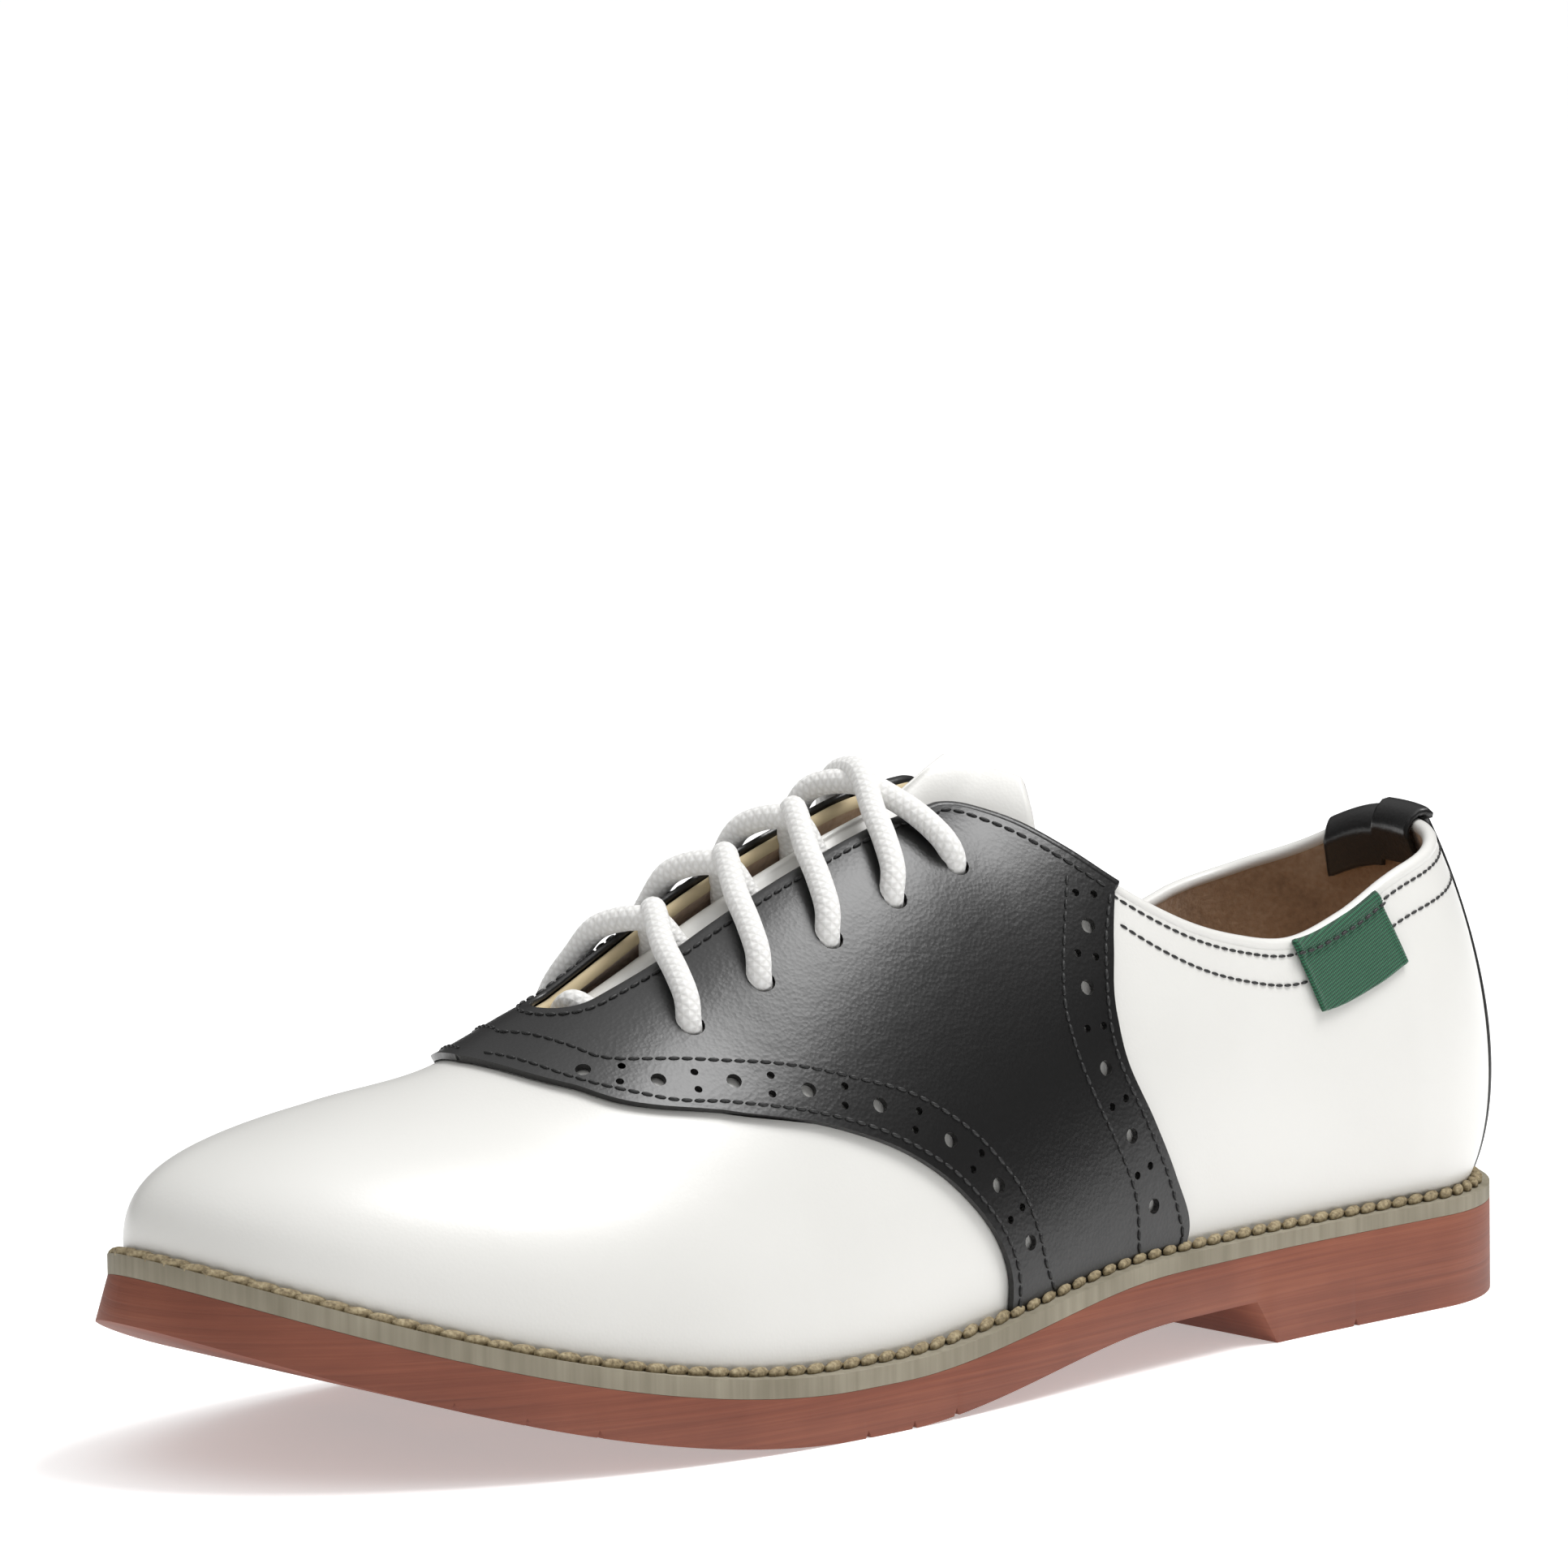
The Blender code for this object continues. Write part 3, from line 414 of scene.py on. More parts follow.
# The upper: vamp and quarters of smooth white leather, pulled tight over the
# last, with a folded topline and a napped tan lining.
INSTEP_HEIGHT = 0.0885
HEEL_HEIGHT = 0.0762
THROAT_GAP = 0.012
LAST_ROWS = (
    # along, ridge, shoulder, roof, belly
    (0.125, 1.120, 0.27, 0.78, 0.125),
    (0.230, 1.110, 0.36, 0.66, 0.070),
    (0.320, 1.090, 0.46, 0.62, 0.045),
    (0.370, 1.065, 0.46, 0.56, 0.038),
    (0.423, 1.020, 0.42, 0.46, 0.035),
    (0.480, 0.992, 0.37, 0.42, 0.035),
    (0.528, 0.947, 0.35, 0.41, 0.038),
    (0.585, 0.876, 0.34, 0.41, 0.040),
    (0.645, 0.785, 0.36, 0.41, 0.045),
    (0.702, 0.712, 0.42, 0.44, 0.045),
    (0.755, 0.644, 0.50, 0.47, 0.043),
    (0.838, 0.602, 0.60, 0.52, 0.040),
)
HEEL_CENTRE = 0.125
TOE_SHOULDER = 0.75
TOE_ROOF = 0.60
TOE_BELLY = 0.020
RIDGE_SWING_FROM = 0.50
RIDGE_SWING_TO = 0.95
COLLAR_ROWS = (
    # along, of heel height, of instep height, dip on the inner side
    (0.030, 1.000, 0.000, 0.000),
    (0.050, 0.990, 0.000, 0.065),
    (0.080, 0.966, 0.000, 0.096),
    (0.125, 0.925, 0.000, 0.100),
    (0.170, 0.861, 0.000, 0.075),
    (0.215, 0.823, 0.000, 0.048),
    (0.260, 0.000, 0.729, 0.026),
    (0.306, 0.000, 0.777, 0.010),
    (0.350, 0.000, 0.855, 0.000),
    (0.376, 0.000, 0.918, 0.000),
    (0.395, 0.000, 0.962, 0.000),
    (0.415, 0.000, 0.993, 0.000),
    (0.434, 0.000, 1.020, 0.000),
    (0.450, 0.000, 1.060, 0.000),
)
COLLAR_HALF = 0.0240
THROAT_END = 0.705
FACING_TOP = 0.445
CORNER_BLEND = 0.03
FACING_LIFT = 0.0048
LIFT_FROM = 0.50
LIFT_ROWS = (
    # along, share
    (0.350, 0.00),
    (0.400, 0.85),
    (0.450, 1.25),
    (0.500, 1.10),
    (0.560, 0.90),
    (0.640, 0.50),
    (0.684, 0.00),
)
EYELETS = 5
EYELET_FIRST = 0.652
EYELET_SPACING = 0.0136
EYELET_ROW_FOOT = 0.0176
EYELET_ROW_TOP = 0.0148
EYELET_RADIUS = 0.0020
PUNCH_REACH = 0.005
CAP_ROWS = 3


def ridge_y(x):
    """Middle line of the upper, which swings inwards to the toe."""
    share = smooth((np.asarray(x) / SOLE_LENGTH - RIDGE_SWING_FROM)
                   / (RIDGE_SWING_TO - RIDGE_SWING_FROM))
    return HEEL_SHIFT - (TOE_SWING + HEEL_SHIFT) * share


def toe_slope():
    """Fall of the ridge line where the toe's sections meet."""
    near, far = LAST_ROWS[-1], LAST_ROWS[-2]
    return (far[1] - near[1]) * INSTEP_HEIGHT / ((near[0] - far[0]) * SOLE_LENGTH)


def feather_line(side, outside=0.0):
    """Foot of the upper on the midsole, or a line at a distance outside it."""
    edge = sole_edge(side, 120, 160, 160)
    return inset(edge, side, welt_width(edge[:, 0]) - outside)


feather = {side: feather_line(side) for side in (1, -1)}
heel_x = HEEL_CENTRE * SOLE_LENGTH
toe_x = TOE_CENTRE * SOLE_LENGTH


def s_at(along):
    """The section that crosses a share of the sole's length."""
    return (np.asarray(along) - HEEL_CENTRE) / (TOE_CENTRE - HEEL_CENTRE)


def columns(side, s):
    """Values of the sections at s: -1 heel back, 0 to 1 along, 2 toe tip."""
    s = np.atleast_1d(np.asarray(s, float))
    line = feather[side]
    x = heel_x + (toe_x - heel_x) * np.clip(s, 0.0, 1.0)
    centre = np.stack([x, ridge_y(x)], -1)
    turn = np.where(s < 0.0, -s, np.where(s > 1.0, s - 1.0, 0.0)) * math.pi / 2
    lean = np.where(s < 0.0, -1.0, 1.0) * np.sin(turn)
    way = np.stack([lean, side * np.cos(turn)], -1)
    reach = side * (np.interp(x, line[:, 0], line[:, 1]) - centre[:, 1])
    for end, keep in ((s < 0.0, line[:, 0] < heel_x + 0.01), (s > 1.0, line[:, 0] > toe_x - 0.01)):
        if end.any():
            middle = centre[end][0]
            rel = line[keep] - middle
            angle = np.arctan2(rel[:, 0], side * rel[:, 1])
            order = np.argsort(angle)
            want = np.arctan2(lean[end], np.cos(turn[end]))
            reach[end] = np.interp(want, angle[order], np.linalg.norm(rel, axis=1)[order])
    ends = (s <= -1.0) | (s >= 2.0)
    if side < 0 and ends.any():
        reach[ends] = columns(1, s[ends])["reach"]
    along = x / SOLE_LENGTH
    blend = smooth(s - 1.0)
    shoulder = row_value(LAST_ROWS, 2, along)
    roof = row_value(LAST_ROWS, 3, along)
    belly = BALL_WIDTH * row_value(LAST_ROWS, 4, along)
    foot = centre + way * reach[:, None]
    lift = FACING_LIFT * row_value(LIFT_ROWS, 1, along) * (side < 0) * (s >= 0.0) * (s <= 1.0)
    return {"lift": lift, "centre": centre, "way": way, "reach": reach,
            "base": seat_height(foot[:, 0]) + SEAT,
            "ridge": INSTEP_HEIGHT * row_value(LAST_ROWS, 1, along),
            "shoulder": shoulder + (TOE_SHOULDER - shoulder) * blend,
            "roof": roof + (TOE_ROOF - roof) * blend,
            "belly": belly + (TOE_BELLY * BALL_WIDTH - belly) * blend,
            "slope": np.where(s > 1.0, -toe_slope() * np.sin(turn), 0.0)}


def on_last(side, s, t, lifted=True):
    """Points of the last: t is 0 at the sole and 1 on the ridge."""
    s, t = np.broadcast_arrays(np.asarray(s, float), np.asarray(t, float))
    shape = s.shape
    col = columns(side, s.ravel())
    t = t.ravel()
    rise = col["ridge"] - col["base"]
    out2 = col["reach"] * col["roof"]
    share = ((1 - t) ** 3, 3 * t * (1 - t) ** 2, 3 * t * t * (1 - t), t ** 3)
    rho = share[0] * col["reach"] + share[1] * (col["reach"] + col["belly"]) + share[2] * out2
    z = (share[0] * col["base"] + share[1] * (col["base"] + rise * col["shoulder"])
         + share[2] * (col["ridge"] + col["slope"] * out2) + share[3] * col["ridge"])
    z += lifted * col["lift"] * smooth((t - LIFT_FROM) / (1.0 - LIFT_FROM))
    flat = col["centre"] + col["way"] * rho[:, None]
    return np.concatenate([flat, z[:, None]], 1).reshape(*shape, 3)


def outward(side, s, t):
    """Unit normals of the last, pointing out of the shoe."""
    s, t = np.broadcast_arrays(np.asarray(s, float), np.asarray(t, float))
    h = 0.002
    ds = (on_last(side, np.minimum(s + h, 2.0), t, False)
          - on_last(side, np.maximum(s - h, -1.0), t, False))
    dt = (on_last(side, s, np.minimum(t + h, 1.0), False)
          - on_last(side, s, np.maximum(t - h, 0.0), False))
    ds[s <= -1.0] = (0.0, side, 0.0)
    ds[s >= 2.0] = (0.0, -side, 0.0)
    normal = np.cross(dt, ds) * side
    normal[(s >= 1.0) & (t > 0.985)] = (toe_slope(), 0.0, 1.0)
    normal[t <= 0.0, 2] = 0.0
    return normal / np.linalg.norm(normal, axis=-1)[..., None]


def skin(side, s, t, offset=0.0):
    """The upper's outer surface, or a surface at an offset from it."""
    return on_last(side, s, t) + outward(side, s, t) * np.asarray(offset)[..., None]


def find_t(side, s, want, kind):
    """The t at which a section reaches a height, or a distance from the ridge."""
    s = np.atleast_1d(np.asarray(s, float))
    col = columns(side, s)
    low = np.zeros(len(s))
    high = np.ones(len(s))
    for _ in range(26):
        mid = (low + high) / 2
        point = on_last(side, s, mid)
        if kind == "height":
            above = point[:, 2] > want
        else:
            above = ((point[:, :2] - col["centre"]) * col["way"]).sum(1) < want
        high = np.where(above, mid, high)
        low = np.where(above, low, mid)
    return (low + high) / 2


def open_t(side, s):
    """Where the upper stops: at the topline, the throat or the closed ridge."""
    s = np.atleast_1d(np.asarray(s, float))
    along = np.where(s < 0.0, HEEL_CENTRE - np.sin(-s * math.pi / 2) * COLLAR_HALF / SOLE_LENGTH,
                     HEEL_CENTRE + (TOE_CENTRE - HEEL_CENTRE) * s)
    half = THROAT_GAP / 2
    deep = (THROAT_END - along) * SOLE_LENGTH
    gap = np.sqrt(np.clip(half ** 2 - (half - np.clip(deep, 0.0, half)) ** 2, 0.0, None))
    throat = find_t(side, s, gap, "distance")
    height = (HEEL_HEIGHT * row_value(COLLAR_ROWS, 1, along)
              + INSTEP_HEIGHT * row_value(COLLAR_ROWS, 2, along))
    if side < 0:
        dip = row_value(COLLAR_ROWS, 3, along) * np.where(s <= -1.0, 0.0, 1.0)
        height = height - HEEL_HEIGHT * dip + columns(side, s)["lift"]
    collar = find_t(side, s, height, "height")
    bent = throat - CORNER_BLEND * np.log1p(np.exp(np.clip((throat - collar) / CORNER_BLEND,
                                                           -50.0, 50.0)))
    top = np.where(along > FACING_TOP, throat, bent)
    return np.where((s > 1.0) | (deep <= 0.0), 1.0, top)


def grid_faces(rows, cols, first=0, flip=False, wrap=False):
    """Quads of a grid of points, numbered row by row from first."""
    faces = []
    for r in range(rows - 1):
        for c in range(cols if wrap else cols - 1):
            d = (c + 1) % cols
            a = first + r * cols
            face = (a + c, a + d, a + cols + d, a + cols + c)
            faces.append(tuple(reversed(face)) if flip else face)
    return faces


def wall(sides, thick_from, thick_to, closed_ends, edge=None):
    """A leather wall on both sides of the shoe, with rounded free edges.

    sides gives for each side the sections, the grid of t and whether the top
    edge is free. Marks are 0 on the grain side and 1 on the flesh side; edge
    gives other marks to the free edge, by side and column.
    """
    points = []
    faces = []
    marks = []
    for side, s, t, free in sides:
        rows, cols = t.shape
        normal = outward(side, s, t)
        base = on_last(side, s, t)
        front = base + normal * thick_to[side][..., None]
        back = base + normal * thick_from
        first = len(points)
        bulge = (thick_to[side][-1] - thick_from) / 2
        up = front[-1] - front[-2]
        up /= np.linalg.norm(up, axis=1)[:, None]
        caps = []
        for k in range(1, CAP_ROWS + 1):
            turn = math.pi * k / (CAP_ROWS + 1)
            middle = base[-1] + normal[-1] * (thick_from + bulge)[:, None]
            round_edge = (middle + normal[-1] * (bulge * math.cos(turn))[:, None]
                          + up * (bulge * math.sin(turn))[:, None])
            flat = front[-1] + (back[-1] - front[-1]) * k / (CAP_ROWS + 1)
            caps.append(np.where(free[:, None], round_edge, flat))
        loop = np.concatenate([front, np.array(caps), back[::-1]])
        points += list(loop.reshape(-1, 3))
        total = len(loop)
        for i, face in enumerate(grid_faces(total, cols, first)):
            r, c = divmod(i, cols - 1)
            if rows - 1 <= r < rows + CAP_ROWS and not (free[c] or free[c + 1]):
                continue
            faces.append(face)
            mark = 0 if r < rows + CAP_ROWS - 2 else 1
            if edge and rows - 2 <= r < rows + CAP_ROWS and edge[side][c]:
                mark = edge[side][c]
            marks.append(mark)
        last = first + (total - 1) * cols
        faces += [(first + c + 1, first + c, last + c, last + c + 1) for c in range(cols - 1)]
        if not closed_ends:
            for c, turned in ((0, False), (cols - 1, True)):
                column = [first + r * cols + c for r in range(total)]
                for r in range(total // 2):
                    pair = (column[r], column[r + 1], column[total - 2 - r], column[total - 1 - r])
                    if len(set(pair)) > 2:
                        face = tuple(dict.fromkeys(pair))
                        faces.append(tuple(reversed(face)) if turned else face)
        marks += [0] * (len(faces) - len(marks))
    return points, faces, marks


reach = THROAT_GAP / 2 / SOLE_LENGTH
along = np.concatenate([
    np.linspace(HEEL_CENTRE, 0.385, 50, endpoint=False),
    np.linspace(0.385, 0.458, 36, endpoint=False),
    np.linspace(0.458, THROAT_END - reach, 50, endpoint=False),
    THROAT_END - reach * (1.0 - np.sin(np.linspace(0.0, math.pi / 2, 14))),
    np.linspace(THROAT_END, TOE_CENTRE, 34, endpoint=False)[1:],
])
sections = np.concatenate([np.linspace(-1.0, 0.0, 44, endpoint=False), s_at(along),
                           np.linspace(1.0, 2.0, 60)])
levels = 1.0 - (1.0 - np.linspace(0.0, 1.0, 56)) ** 1.08

SADDLE_TOP = 0.352

# Soft creases and hollows, listed: side, along, t, long way, short way, depth.
CREASES = (
    (1, 0.700, 0.42, 0.030, 0.090, -0.00018),
    (1, 0.655, 0.22, 0.035, 0.070, 0.00014),
    (-1, 0.690, 0.46, 0.030, 0.090, -0.00018),
    (-1, 0.640, 0.22, 0.035, 0.070, 0.00014),
    (1, 0.215, 0.30, 0.040, 0.100, -0.00016),
    (-1, 0.230, 0.30, 0.040, 0.100, -0.00016),
)
sides = []
puff = {}
for side in (1, -1):
    top = open_t(side, sections)
    t = levels[:, None] * top[None, :]
    s = np.broadcast_to(sections, t.shape)
    place_along = HEEL_CENTRE + (TOE_CENTRE - HEEL_CENTRE) * s
    rise = np.zeros(t.shape)
    for which, a, b, long_way, short_way, depth in CREASES:
        if which == side:
            rise += depth * np.exp(-((place_along - a) / long_way) ** 2
                                   - ((t - b) / short_way) ** 2)
    free = top < 1.0
    puff[side] = rise
    sides.append((side, s, t, free))

# Full-grain leather with a pigmented finish: smooth, softly glossy, with pores
# half a millimetre apart that barely show. The lining is napped and dull.
white, tree, place = new_material("white_finished_full_grain_leather", Roughness=0.36, IOR=1.5,
                                  Coat_Weight=0.25, Coat_Roughness=0.32)
pores = add(tree, "ShaderNodeTexVoronoi", Vector=place, Scale=1900.0).outputs[0]
grain = maths(tree, "MULTIPLY_ADD", pores, 0.35, noise(tree, place, 150.0, 4.0))
cloud = noise(tree, place, 22.0, 2.0)
paint(tree, cloud, [(0.3, "DCDBD7"), (0.7, "E3E2DE")], grain, 0.12, 0.0003)
edge_ink = new_material("black_inked_edge", Roughness=0.5, Base_Color=linear("1D1D1D"))[0]
raw_edge = new_material("cream_raw_leather_edge", Roughness=0.9, Base_Color=linear("C8B794"))[0]
throat = (place_along[0] > SADDLE_TOP) & (place_along[0] < THROAT_END)
points, faces, marks = wall(sides, -UPPER_WALL, puff, True,
                            edge={1: 2 * throat.astype(int), -1: 3 * throat.astype(int)})
upper = new_piece("upper_leather", points, faces, marks)
for skin_of in (white, suede, edge_ink, raw_edge):
    upper.data.materials.append(skin_of)


def hole_tool(spots, low, high, sides=20):
    """Round punches as one tool: spots are centre, axis and radius."""
    points = []
    faces = []
    for centre, axis, size in spots:
        a = np.cross(axis, (1.0, 0.0, 0.0))
        a /= np.linalg.norm(a)
        b = np.cross(axis, a)
        first = len(points)
        for depth in (low, high):
            for k in range(sides):
                turn = 2 * math.pi * k / sides
                points.append(centre + axis * depth
                              + size * (a * math.cos(turn) + b * math.sin(turn)))
        faces += grid_faces(2, sides, first, wrap=True)
        faces.append(tuple(range(first, first + sides)))
        faces.append(tuple(range(first + 2 * sides - 1, first + sides - 1, -1)))
    return new_piece("punch", points, faces, merge=0.0)


def eyelet_row(number):
    """Distance of a lace hole from the middle line, 1 at the bottom."""
    return EYELET_ROW_FOOT + (EYELET_ROW_TOP - EYELET_ROW_FOOT) * (number - 1) / (EYELETS - 1)


def eyelet_s(number):
    """Section of a lace hole, 1 at the bottom."""
    return float(s_at(EYELET_FIRST - (number - 1) * EYELET_SPACING / SOLE_LENGTH))


eyelet_punches = []
for side in (1, -1):
    for number in range(1, EYELETS + 1):
        s = eyelet_s(number)
        t = float(find_t(side, s, eyelet_row(number), "distance")[0])
        eyelet_punches.append((on_last(side, s, t), outward(side, s, t), EYELET_RADIUS))
cut(upper, hole_tool(eyelet_punches, -PUNCH_REACH, PUNCH_REACH))
shade(upper, 60.0)
finished(upper, None, "white_leather", "upper")


# The saddle: a black leather overlay across the instep, stitched round its
# edges, with a punched band along its front and back.
OVERLAY = 0.0011
SKIN_KEPT = 0.0001
CLOSING_FROM = 0.86
SADDLE_FRONT = (
    # t, along
    (0.000, 0.4900),
    (0.075, 0.4900),
    (0.150, 0.4990),
    (0.225, 0.5160),
    (0.288, 0.5350),
    (0.363, 0.5650),
    (0.413, 0.5910),
    (0.475, 0.6260),
    (0.525, 0.6590),
    (0.588, 0.7010),
    (0.725, 0.7370),
    (0.913, 0.7570),
    (1.000, 0.7600),
)
SADDLE_REAR = (
    # t, along
    (0.000, 0.3330),
    (0.025, 0.3300),
    (0.113, 0.3430),
    (0.200, 0.3590),
    (0.288, 0.3735),
    (0.363, 0.3757),
    (0.463, 0.3660),
    (0.545, 0.3500),
)


def rear_share(rows):
    """The rear edge's table by the share of the open height."""
    out = [(t / float(open_t(1, s_at(along))[0]), along) for t, along in rows]
    out[-1] = (1.0, out[-1][1])
    return out


share = np.linspace(0.0, 1.0, 80)[:, None]
across = np.linspace(0.0, 1.0, 300)[None, :]
rear_line = row_value(rear_share(SADDLE_REAR), 1, share)
front_line = row_value(SADDLE_FRONT, 1, share)
along = rear_line + (front_line - rear_line) * across
sides = []
puff = {}
for side in (1, -1):
    every = open_t(side, s_at(along).ravel()).reshape(along.shape)
    free = every[-1] < 1.0
    closing = smooth((across - CLOSING_FROM) / (1.0 - CLOSING_FROM))
    t = share * (every + (1.0 - every) * closing * (1.0 - share ** 8))
    puff[side] = np.full(t.shape, SEAT + OVERLAY)
    sides.append((side, s_at(along), t, free))

# Black corrected-grain leather: a softly glossy finish over a fine grain.
black, tree, place = new_material("black_finished_leather", Roughness=0.36, IOR=1.42,
                                  Coat_Weight=0.35, Coat_Roughness=0.30)
pores = add(tree, "ShaderNodeTexVoronoi", Vector=place, Scale=1500.0).outputs[0]
waves = noise(tree, place, 260.0, 5.0, Roughness=0.6)
grain = maths(tree, "MULTIPLY_ADD", pores, 0.3, waves)
cloud = noise(tree, place, 30.0, 2.0)
paint(tree, cloud, [(0.3, "090909"), (0.7, "0F0E0E")], grain, 0.28, 0.0004)
points, faces, marks = wall(sides, SEAT, puff, False)
saddle = new_piece("saddle_overlay", points, faces, marks)
saddle.data.materials.append(black)
saddle.data.materials.append(black)
BAND_FRONT = (
    # along, t
    (0.7240, 0.738),
    (0.6915, 0.638),
    (0.6490, 0.575),
    (0.6070, 0.500),
    (0.5645, 0.425),
    (0.5220, 0.325),
    (0.4930, 0.225),
    (0.4730, 0.113),
)
PAIR_TOP = (0.3740, 0.565)
BAND_REAR = (
    # along, t
    (0.3790, 0.513),
    (0.3920, 0.425),
    (0.3920, 0.300),
    (0.3790, 0.188),
    (0.3630, 0.075),
)
BIG_HOLE = 0.00125
SMALL_HOLE = 0.00065
PAIR_GAP = 0.00165


def seam(side, rows, count, shift=0.0, offset=0.0):
    """A line on the upper through (along, t) rows, with normals and tangents."""
    table = [(float(i),) + tuple(row) for i, row in enumerate(rows)]
    at = np.linspace(0.0, len(rows) - 1.0, count)
    s = s_at(row_value(table, 1, at))
    t = row_value(table, 2, at)
    return seam_on(side, s, t, shift, offset)


def seam_on(side, s, t, shift=0.0, offset=0.0):
    """A line on the upper through sections and t, moved sideways by a shift."""
    line = on_last(side, s, t)
    normal = outward(side, s, t)
    run = np.gradient(line, axis=0)
    run /= np.linalg.norm(run, axis=1)[:, None]
    beside = np.cross(normal, run) * side
    return line + normal * offset + beside * shift, normal, beside


punches = list(eyelet_punches)
for side in (1, -1):
    for rows in (BAND_FRONT, BAND_REAR):
        line, normal, beside = seam(side, rows, 2 * len(rows) - 1)
        punches += [(line[i], normal[i], BIG_HOLE) for i in range(0, len(line), 2)]
        punches += [(line[i] + beside[i] * step, normal[i], SMALL_HOLE)
                    for i in range(1, len(line), 2) for step in (-PAIR_GAP, PAIR_GAP)]
    line, normal, beside = seam(side, (PAIR_TOP, BAND_REAR[0]), 9)
    punches += [(line[0] + beside[0] * step, normal[0], SMALL_HOLE)
                for step in (-PAIR_GAP, PAIR_GAP)]
cut(saddle, hole_tool(punches, SKIN_KEPT, PUNCH_REACH, 16))
shade(saddle)
finished(saddle, None, "black_leather", "saddle")


# The tongue: a tongue-shaped piece of white leather, lined with tan leather,
# sewn in under the vamp and standing up out of the facings at its tip.
TONGUE_THICKNESS = 0.0022
TONGUE_WIDTH = 0.0370
TONGUE_SHIFT = 0.0045
TONGUE_CLEAR = 0.0008
TONGUE_SINK = 0.0013
TONGUE_ROWS = (
    # along, half width, lift, shift
    (0.715, 0.55, 0.00, 0.00),
    (0.620, 0.70, 0.00, 0.00),
    (0.510, 0.82, 0.00, 0.20),
    (0.472, 0.87, 0.02, 0.50),
    (0.451, 0.94, 0.22, 0.80),
    (0.436, 0.98, 0.56, 0.95),
    (0.423, 0.96, 0.86, 1.00),
    (0.414, 0.84, 1.00, 1.00),
    (0.409, 0.56, 1.06, 1.00),
)
TONGUE_LIFT = 0.0054
TONGUE_FADE = 2.4
TONGUE_LEAN = 0.034
rows = [(i / (len(TONGUE_ROWS) - 1),) + r for i, r in enumerate(TONGUE_ROWS)]
share = np.linspace(0.0, 1.0, 110)
across = np.linspace(-1.0, 1.0, 61)
along, half_width, lift, shift = (row_value(rows, k, share)[:, None] for k in (1, 2, 3, 4))
place = across[None, :] * half_width * TONGUE_WIDTH / 2
place = place - TONGUE_SHIFT * shift * (1.0 - across[None, :] ** 2)
front = np.zeros((len(share), len(across), 3))
back = front.copy()
s = s_at(along - TONGUE_LEAN * lift * across ** 2)
for side in (1, -1):
    keep = place * side >= 0.0 if side > 0 else place < 0.0
    flat, rho = s[keep], np.abs(place[keep])
    t = find_t(side, flat, rho, "distance")
    edge = on_last(side, flat, open_t(side, flat))
    free = np.maximum(side * (edge[:, 1] - ridge_y(edge[:, 0])), THROAT_GAP / 2)
    raised = np.zeros((len(flat), 3))
    slope = 0.5 - np.clip(place[keep] / THROAT_GAP, -0.5, 0.5)
    own = columns(side, flat)["lift"] * smooth((t - LIFT_FROM) / (1.0 - LIFT_FROM))
    raised[:, 2] = (TONGUE_LIFT * np.broadcast_to(lift, s.shape)[keep]
                    * (1.0 - np.minimum(rho / free, 1.0) ** TONGUE_FADE)
                    + (columns(-1, flat)["lift"] * slope if side > 0 else own * (slope - 1.0)))
    sink = TONGUE_SINK * columns(-1, flat)["lift"] / FACING_LIFT
    for layer, depth in ((front, 0.0), (back, TONGUE_THICKNESS)):
        layer[keep] = skin(side, flat, t, -UPPER_WALL - TONGUE_CLEAR - sink - depth) + raised


def sheet_piece(name, front, back, flesh=0):
    """A leather sheet between two grids of points, with a rounded edge."""
    rows, cols = front.shape[:2]
    points = list(front.reshape(-1, 3)) + list(back.reshape(-1, 3))
    n = rows * cols
    faces = grid_faces(rows, cols) + grid_faces(rows, cols, n, flip=True)
    marks = [0] * (len(faces) // 2) + [flesh] * (len(faces) // 2)
    ring = (list(range(cols)) + [r * cols + cols - 1 for r in range(1, rows)]
            + [(rows - 1) * cols + c for c in range(cols - 2, -1, -1)]
            + [r * cols for r in range(rows - 2, 0, -1)])
    middle, under = front.reshape(-1, 3), back.reshape(-1, 3)
    rim = list(middle[ring] * 0.5 + under[ring] * 0.5)
    for i, a in enumerate(ring):
        before, after = middle[ring[i - 1]], middle[ring[(i + 1) % len(ring)]]
        run = after - before
        through = middle[a] - under[a]
        out = np.cross(through, run)
        out /= max(np.linalg.norm(out), 1e-9)
        rim[i] = rim[i] - out * np.linalg.norm(through) * 0.35
    first = len(points)
    points += rim
    for i, a in enumerate(ring):
        b = ring[(i + 1) % len(ring)]
        c, d = first + i, first + (i + 1) % len(ring)
        faces += [(b, a, c, d), (d, c, a + n, b + n)]
        marks += [0, flesh]
    return new_piece(name, points, faces, marks)


tongue = sheet_piece("tongue_leather", front, back, 1)
tongue.data.materials.append(white)
tongue.data.materials.append(suede)
finished(tongue, None, "tongue_leather", "tongue")


